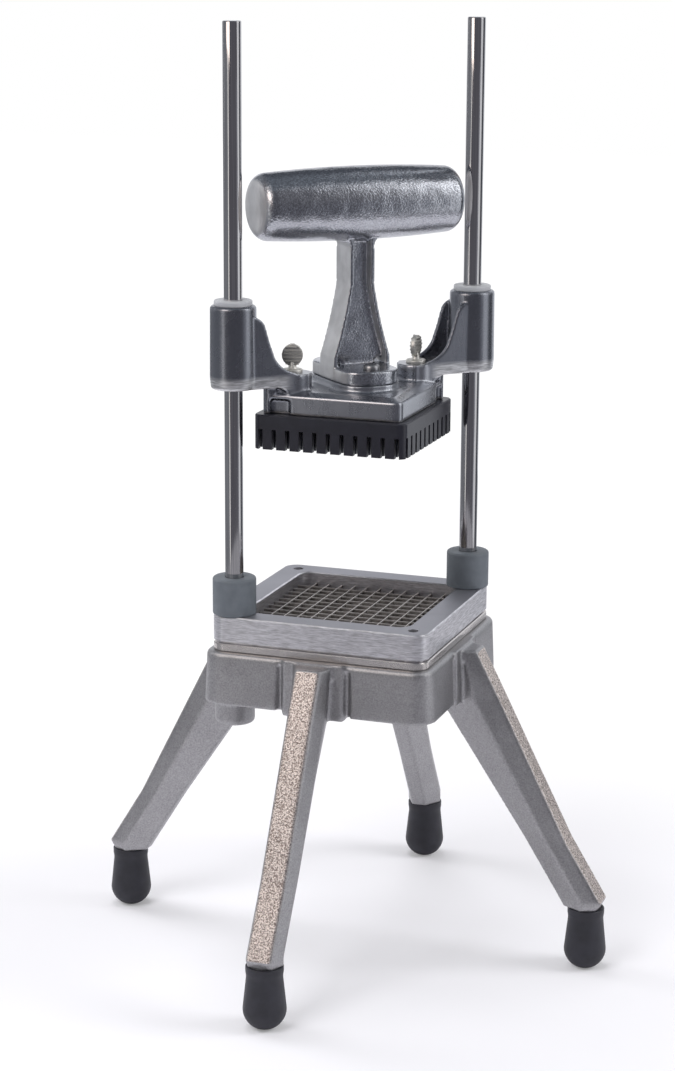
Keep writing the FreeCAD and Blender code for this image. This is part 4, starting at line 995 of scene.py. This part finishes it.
@dataclass
class ThumbScrew:
    """A thumb screw: a turned shank and flange, and an upright pressed paddle with level ribs."""

    side: Side
    body: Body
    facing: float
    offset: float = 33.6
    seat: float = 418.5
    shank: float = 3.0
    shank_foot: float = 383.5
    flange: float = 7.0
    flange_top: float = 420.9
    neck: float = 3.2
    stalk: float = 1.6
    stalk_top: float = 426.5
    paddle_half: float = 7.2
    paddle_half_height: float = 7.6
    paddle_middle: float = 430.4
    paddle_thick: float = 3.0
    paddle_steps: int = 40
    rim_round: float = 0.5
    rib_pitch: float = 2.4
    rib_inset: float = 0.3
    rib_height: float = 0.5

    def build(self) -> None:
        """Build and dress the screw."""
        screw = turned([
            (0, self.shank_foot, 0), (self.shank, self.shank_foot, 0), (self.shank, self.seat, 0),
            (self.flange, self.seat, 0.3), (self.flange, self.flange_top, 0.8), (self.neck, self.flange_top, 0.6),
            (self.stalk, self.stalk_top, 0.8), (0, self.stalk_top, 0),
        ], steps=48)
        take_in(screw, self.paddle())
        move_to(self.side, screw, self.offset)
        Piece(f"{self.side}_thumb_screw_paddle", self.body, "thumb_screws", THUMB_STEEL,
              f"{self.side}_thumb_screw").place(screw)

    def paddle(self) -> Shape:
        """The paddle, upright over the origin and turned to its bearing.

        Returns:
            Its shape.
        """
        mesh = bmesh.new()
        bmesh.ops.create_circle(mesh, cap_ends=True, radius=1.0, segments=self.paddle_steps)
        oval = Vector((self.paddle_half, self.paddle_half_height, 1)) * MM
        bmesh.ops.scale(mesh, vec=oval, verts=mesh.verts[:])
        bmesh.ops.rotate(mesh, matrix=Matrix.Rotation(math.radians(90), 3, "X"), verts=mesh.verts[:])
        move(mesh, 0, -self.paddle_thick / 2)
        far = grown_verts(mesh, mesh.faces[:])
        bmesh.ops.translate(mesh, vec=Vector((0, self.paddle_thick, 0)) * MM, verts=far)
        bmesh.ops.recalc_face_normals(mesh, faces=mesh.faces[:])
        rim = [edge for edge in mesh.edges if edge.calc_face_angle(0.0) > math.radians(60)]
        bmesh.ops.bevel(mesh, geom=rim, offset=self.rim_round * MM, affect="EDGES", segments=2, profile=0.5,
                        material=-1)
        lines = math.floor(self.paddle_half_height * 2 / self.rib_pitch)
        for line in range(-lines, lines + 1):
            cut(mesh, Vector((0, 0, line * self.rib_pitch / 2)), Vector((0, 0, 1)))
        ribs = [face for face in mesh.faces if abs(face.normal.y) > 0.9
                and math.floor(face.calc_center_median().z / (self.rib_pitch / 2 * MM)) % 2 == 0]
        bmesh.ops.inset_individual(mesh, faces=ribs, thickness=self.rib_inset * MM, depth=self.rib_height * MM,
                                   use_even_offset=True)
        bmesh.ops.rotate(mesh, matrix=Matrix.Rotation(math.radians(self.facing), 3, "Z"), verts=mesh.verts[:])
        move(mesh, 0, 0, self.paddle_middle)
        return mesh


# -------------------- the studio


@dataclass
class View:
    """The camera at the photograph's viewing angle. Its place is in metres."""

    azimuth: float = 19.53
    elevation: float = 13.64
    roll: float = 0.28
    place: tuple[float, float, float] = (0.5844, -1.6817, 0.7304)
    lens: float = 87.48
    sensor: float = 36.0

    def build(self) -> None:
        """Make the camera and look through it."""
        aim = Matrix.Translation(self.place)
        for angle, axis in ((self.azimuth, "Z"), (90 - self.elevation, "X"), (self.roll, "Z")):
            aim = aim @ Matrix.Rotation(math.radians(angle), 4, axis)
        camera = bpy.data.cameras.new("view")
        camera.lens = self.lens
        camera.sensor_width = self.sensor
        camera.clip_start, camera.clip_end = 0.05, 50.0
        holder = bpy.data.objects.new("view", camera)
        holder.matrix_world = aim
        bpy.context.scene.collection.objects.link(holder)
        bpy.context.scene.camera = holder


@dataclass(frozen=True)
class Lamp:
    """A square soft lamp: degrees round the object and above the floor, and watts."""

    name: str
    turn: float
    rise: float
    power: float
    mirrored: bool = True


@dataclass(frozen=True)
class Card:
    """A curved studio card that only shiny surfaces see, in degrees round the object and millimetres."""

    start: float
    end: float
    low: float
    high: float
    colour: str
    strength: float = 1.0
    radius: float = 900.0
    flare: float = 0.0
    steps: int = 12


@dataclass
class Studio:
    """White sweep, soft lamps, and the dark and bright cards that shape the metal's reflections.

    Turns are measured round the object from the side that the photograph shows, to its right.
    """

    facing: float = 19.53
    middle: float = 300.0
    ambient: float = 0.36
    floor_half: float = 6000.0
    floor_sunk: float = 0.1
    floor_tone: str = "#f3f2f8"
    floor_glow: float = 1.06
    floor_share: float = 0.2
    fade_starts: float = 220.0
    fade_ends: float = 620.0
    lamp_distance: float = 2000.0
    lamp_size: float = 900.0
    lamps: tuple[Lamp, ...] = (
        Lamp("key", -42, 46, 15.0), Lamp("side", 82, 30, 18.0), Lamp("fill", -118, 18, 14.0),
        Lamp("top", -150, 74, 13.0, mirrored=False),
    )
    ceiling: float = 2000.0
    ceiling_radius: float = 950.0
    ceiling_tone: str = "#7a8088"
    apron: Card = Card(-100, 100, 1, 1, "#acacb2", radius=640.0, flare=260.0, steps=24)
    cards: tuple[Card, ...] = (
        Card(-180, -150, 0, 1000, "#e9eaee", 1.2),
        Card(-180, -150, 1000, 2000, "#5c6068"),
        Card(-150, -55, 0, 2000, "#878a90"),
        Card(-55, -45, 0, 2000, "#f4f2f0", 1.3),
        Card(-45, 62, 0, 2000, "#66666d"),
        Card(48, 61, 0, 700, "#8d8f98", radius=890.0),
        Card(62, 90, 0, 2000, "#f4f6fa"),
        Card(74, 94, 800, 1500, "#ffffff", 2.2, 880.0),
        Card(90, 125, 0, 2000, "#565960"),
        Card(125, 150, 0, 140, "#a4a7ad"),
        Card(125, 150, 140, 2000, "#d4d7dc", 1.4),
        Card(150, 180, 0, 1000, "#e9eaee", 1.2),
        Card(150, 180, 1000, 2000, "#5c6068"),
        Card(-66, -30, 720, 1300, "#fff0e6", 2.8, 880.0),
    )

    def build(self) -> None:
        """Build the world, floor, lamps and cards."""
        self.build_world()
        self.build_floor()
        for lamp in self.lamps:
            self.build_lamp(lamp)
        for number, card in enumerate(self.cards):
            self.build_card(f"card_{number}", card)
        self.build_card("apron_card", self.apron)
        self.build_ceiling()

    def direction(self, turn: float, rise: float) -> Vector:
        """The direction from the object to a spot in the studio.

        Args:
            turn: Degrees round the object from the viewing side, to the right.
            rise: Degrees above the floor.

        Returns:
            A unit vector.
        """
        angle, lift = math.radians(self.facing + turn), math.radians(rise)
        return Vector((math.sin(angle) * math.cos(lift), -math.cos(angle) * math.cos(lift), math.sin(lift)))

    def build_world(self) -> None:
        """White where the camera and shiny things look, and a plain level elsewhere."""
        world = bpy.data.worlds.new("white_studio")
        bpy.context.scene.world = world
        add = partial(add_node, cleared(world))
        path = add("LightPath").outputs
        seen = add("Math", {0: path["Is Camera Ray"], 1: path["Is Glossy Ray"]}, operation="MAXIMUM")
        shown = add("Math", {0: seen, 1: path["Is Transmission Ray"]}, operation="MAXIMUM")
        level = add("Mix", {"Factor": shown, "A": self.ambient, "B": 1.0})
        light = add("Background", {"Color": "#ffffff", "Strength": level})
        add("OutputWorld", {"Surface": light})

    def build_floor(self) -> None:
        """A wide white floor that keeps the object's soft shadow."""
        mesh = bmesh.new()
        bmesh.ops.create_grid(mesh, x_segments=8, y_segments=8, size=self.floor_half * MM)
        move(mesh, 0, 0, -self.floor_sunk)
        paper = bpy.data.materials.new("white_paper_sweep")
        add = partial(add_node, cleared(paper))
        away = add("VectorMath", {0: add("TexCoord").outputs["Object"]}, operation="LENGTH")
        share = add("MapRange", {
            "Value": away, "From": (self.fade_starts * MM, self.fade_ends * MM), "To": (self.floor_share, 1.0),
        }, interpolation_type="SMOOTHSTEP")
        seen = add("Math", {0: add("LightPath").outputs["Is Camera Ray"], 1: share}, operation="MULTIPLY")
        matt = add("BsdfDiffuse", {"Color": self.floor_tone})
        lit = add("Emission", {"Color": "#ffffff", "Strength": self.floor_glow})
        add("OutputMaterial", {"Surface": add("MixShader", {0: seen, 1: matt, 2: lit})})
        into_scene("white_floor", mesh, paper)

    def build_lamp(self, lamp: Lamp) -> None:
        """Aim a lamp at the middle of the object.

        Args:
            lamp: Its place and power.
        """
        light = bpy.data.lights.new(lamp.name, "AREA")
        light.size = self.lamp_size * MM
        light.energy = lamp.power
        holder = bpy.data.objects.new(lamp.name, light)
        aim = self.direction(lamp.turn, lamp.rise)
        holder.location = Vector((0, 0, self.middle * MM)) + aim * self.lamp_distance * MM
        holder.rotation_mode = "QUATERNION"
        holder.rotation_quaternion = aim.to_track_quat("Z", "Y")
        holder.visible_glossy = lamp.mirrored
        bpy.context.scene.collection.objects.link(holder)

    def build_ceiling(self) -> None:
        """A dark lid over the cards, which keeps upward faces from mirroring plain white."""
        mesh = bmesh.new()
        bmesh.ops.create_circle(mesh, cap_ends=True, radius=self.ceiling_radius * MM, segments=48)
        move(mesh, 0, 0, self.ceiling)
        self.hang("ceiling_card", mesh, self.ceiling_tone, 1.0)

    def build_card(self, name: str, card: Card) -> None:
        """Spin an edge into a curved card. The apron's edge lies flat, just over the floor in front.

        Args:
            name: The card's name.
            card: Its place and tone.
        """
        mesh = bmesh.new()
        way = self.direction(card.start, 0)
        ends = [mesh.verts.new((way.x * reach * MM, way.y * reach * MM, height * MM))
                for reach, height in ((card.radius, card.low), (card.radius + card.flare, card.high))]
        edge = mesh.edges.new(ends)
        bmesh.ops.spin(mesh, geom=ends + [edge], cent=(0, 0, 0), axis=(0, 0, 1), dvec=(0, 0, 0),
                       angle=math.radians(card.end - card.start), steps=card.steps, use_merge=False,
                       use_duplicate=False)
        self.hang(name, mesh, card.colour, card.strength)

    def hang(self, name: str, mesh: Shape, colour: str, strength: float) -> None:
        """Turn a shape into a glowing card that only reflections see.

        Args:
            name: The card's name.
            mesh: Its shape. It is freed.
            colour: Its tone.
            strength: Its brightness.
        """
        tone = bpy.data.materials.new(name)
        add = partial(add_node, cleared(tone))
        add("OutputMaterial", {"Surface": add("Emission", {"Color": colour, "Strength": strength})})
        made = into_scene(name, mesh, tone)
        for ray in ("camera", "diffuse", "transmission", "volume_scatter", "shadow"):
            setattr(made, f"visible_{ray}", False)


def main() -> None:
    """Build the studio and each sub-assembly, and note the sizes."""
    logging.basicConfig(level=logging.INFO, format="%(name)s: %(message)s")
    View().build()
    Studio().build()
    Stand().build()
    Pusher().build()
    ThumbScrew(Side.LEFT, Body.LEFT_THUMB, 15.0).build()
    ThumbScrew(Side.RIGHT, Body.RIGHT_THUMB, 86.0).build()
    bpy.context.scene.view_settings.view_transform = "Standard"


if __name__ == "__main__":
    main()
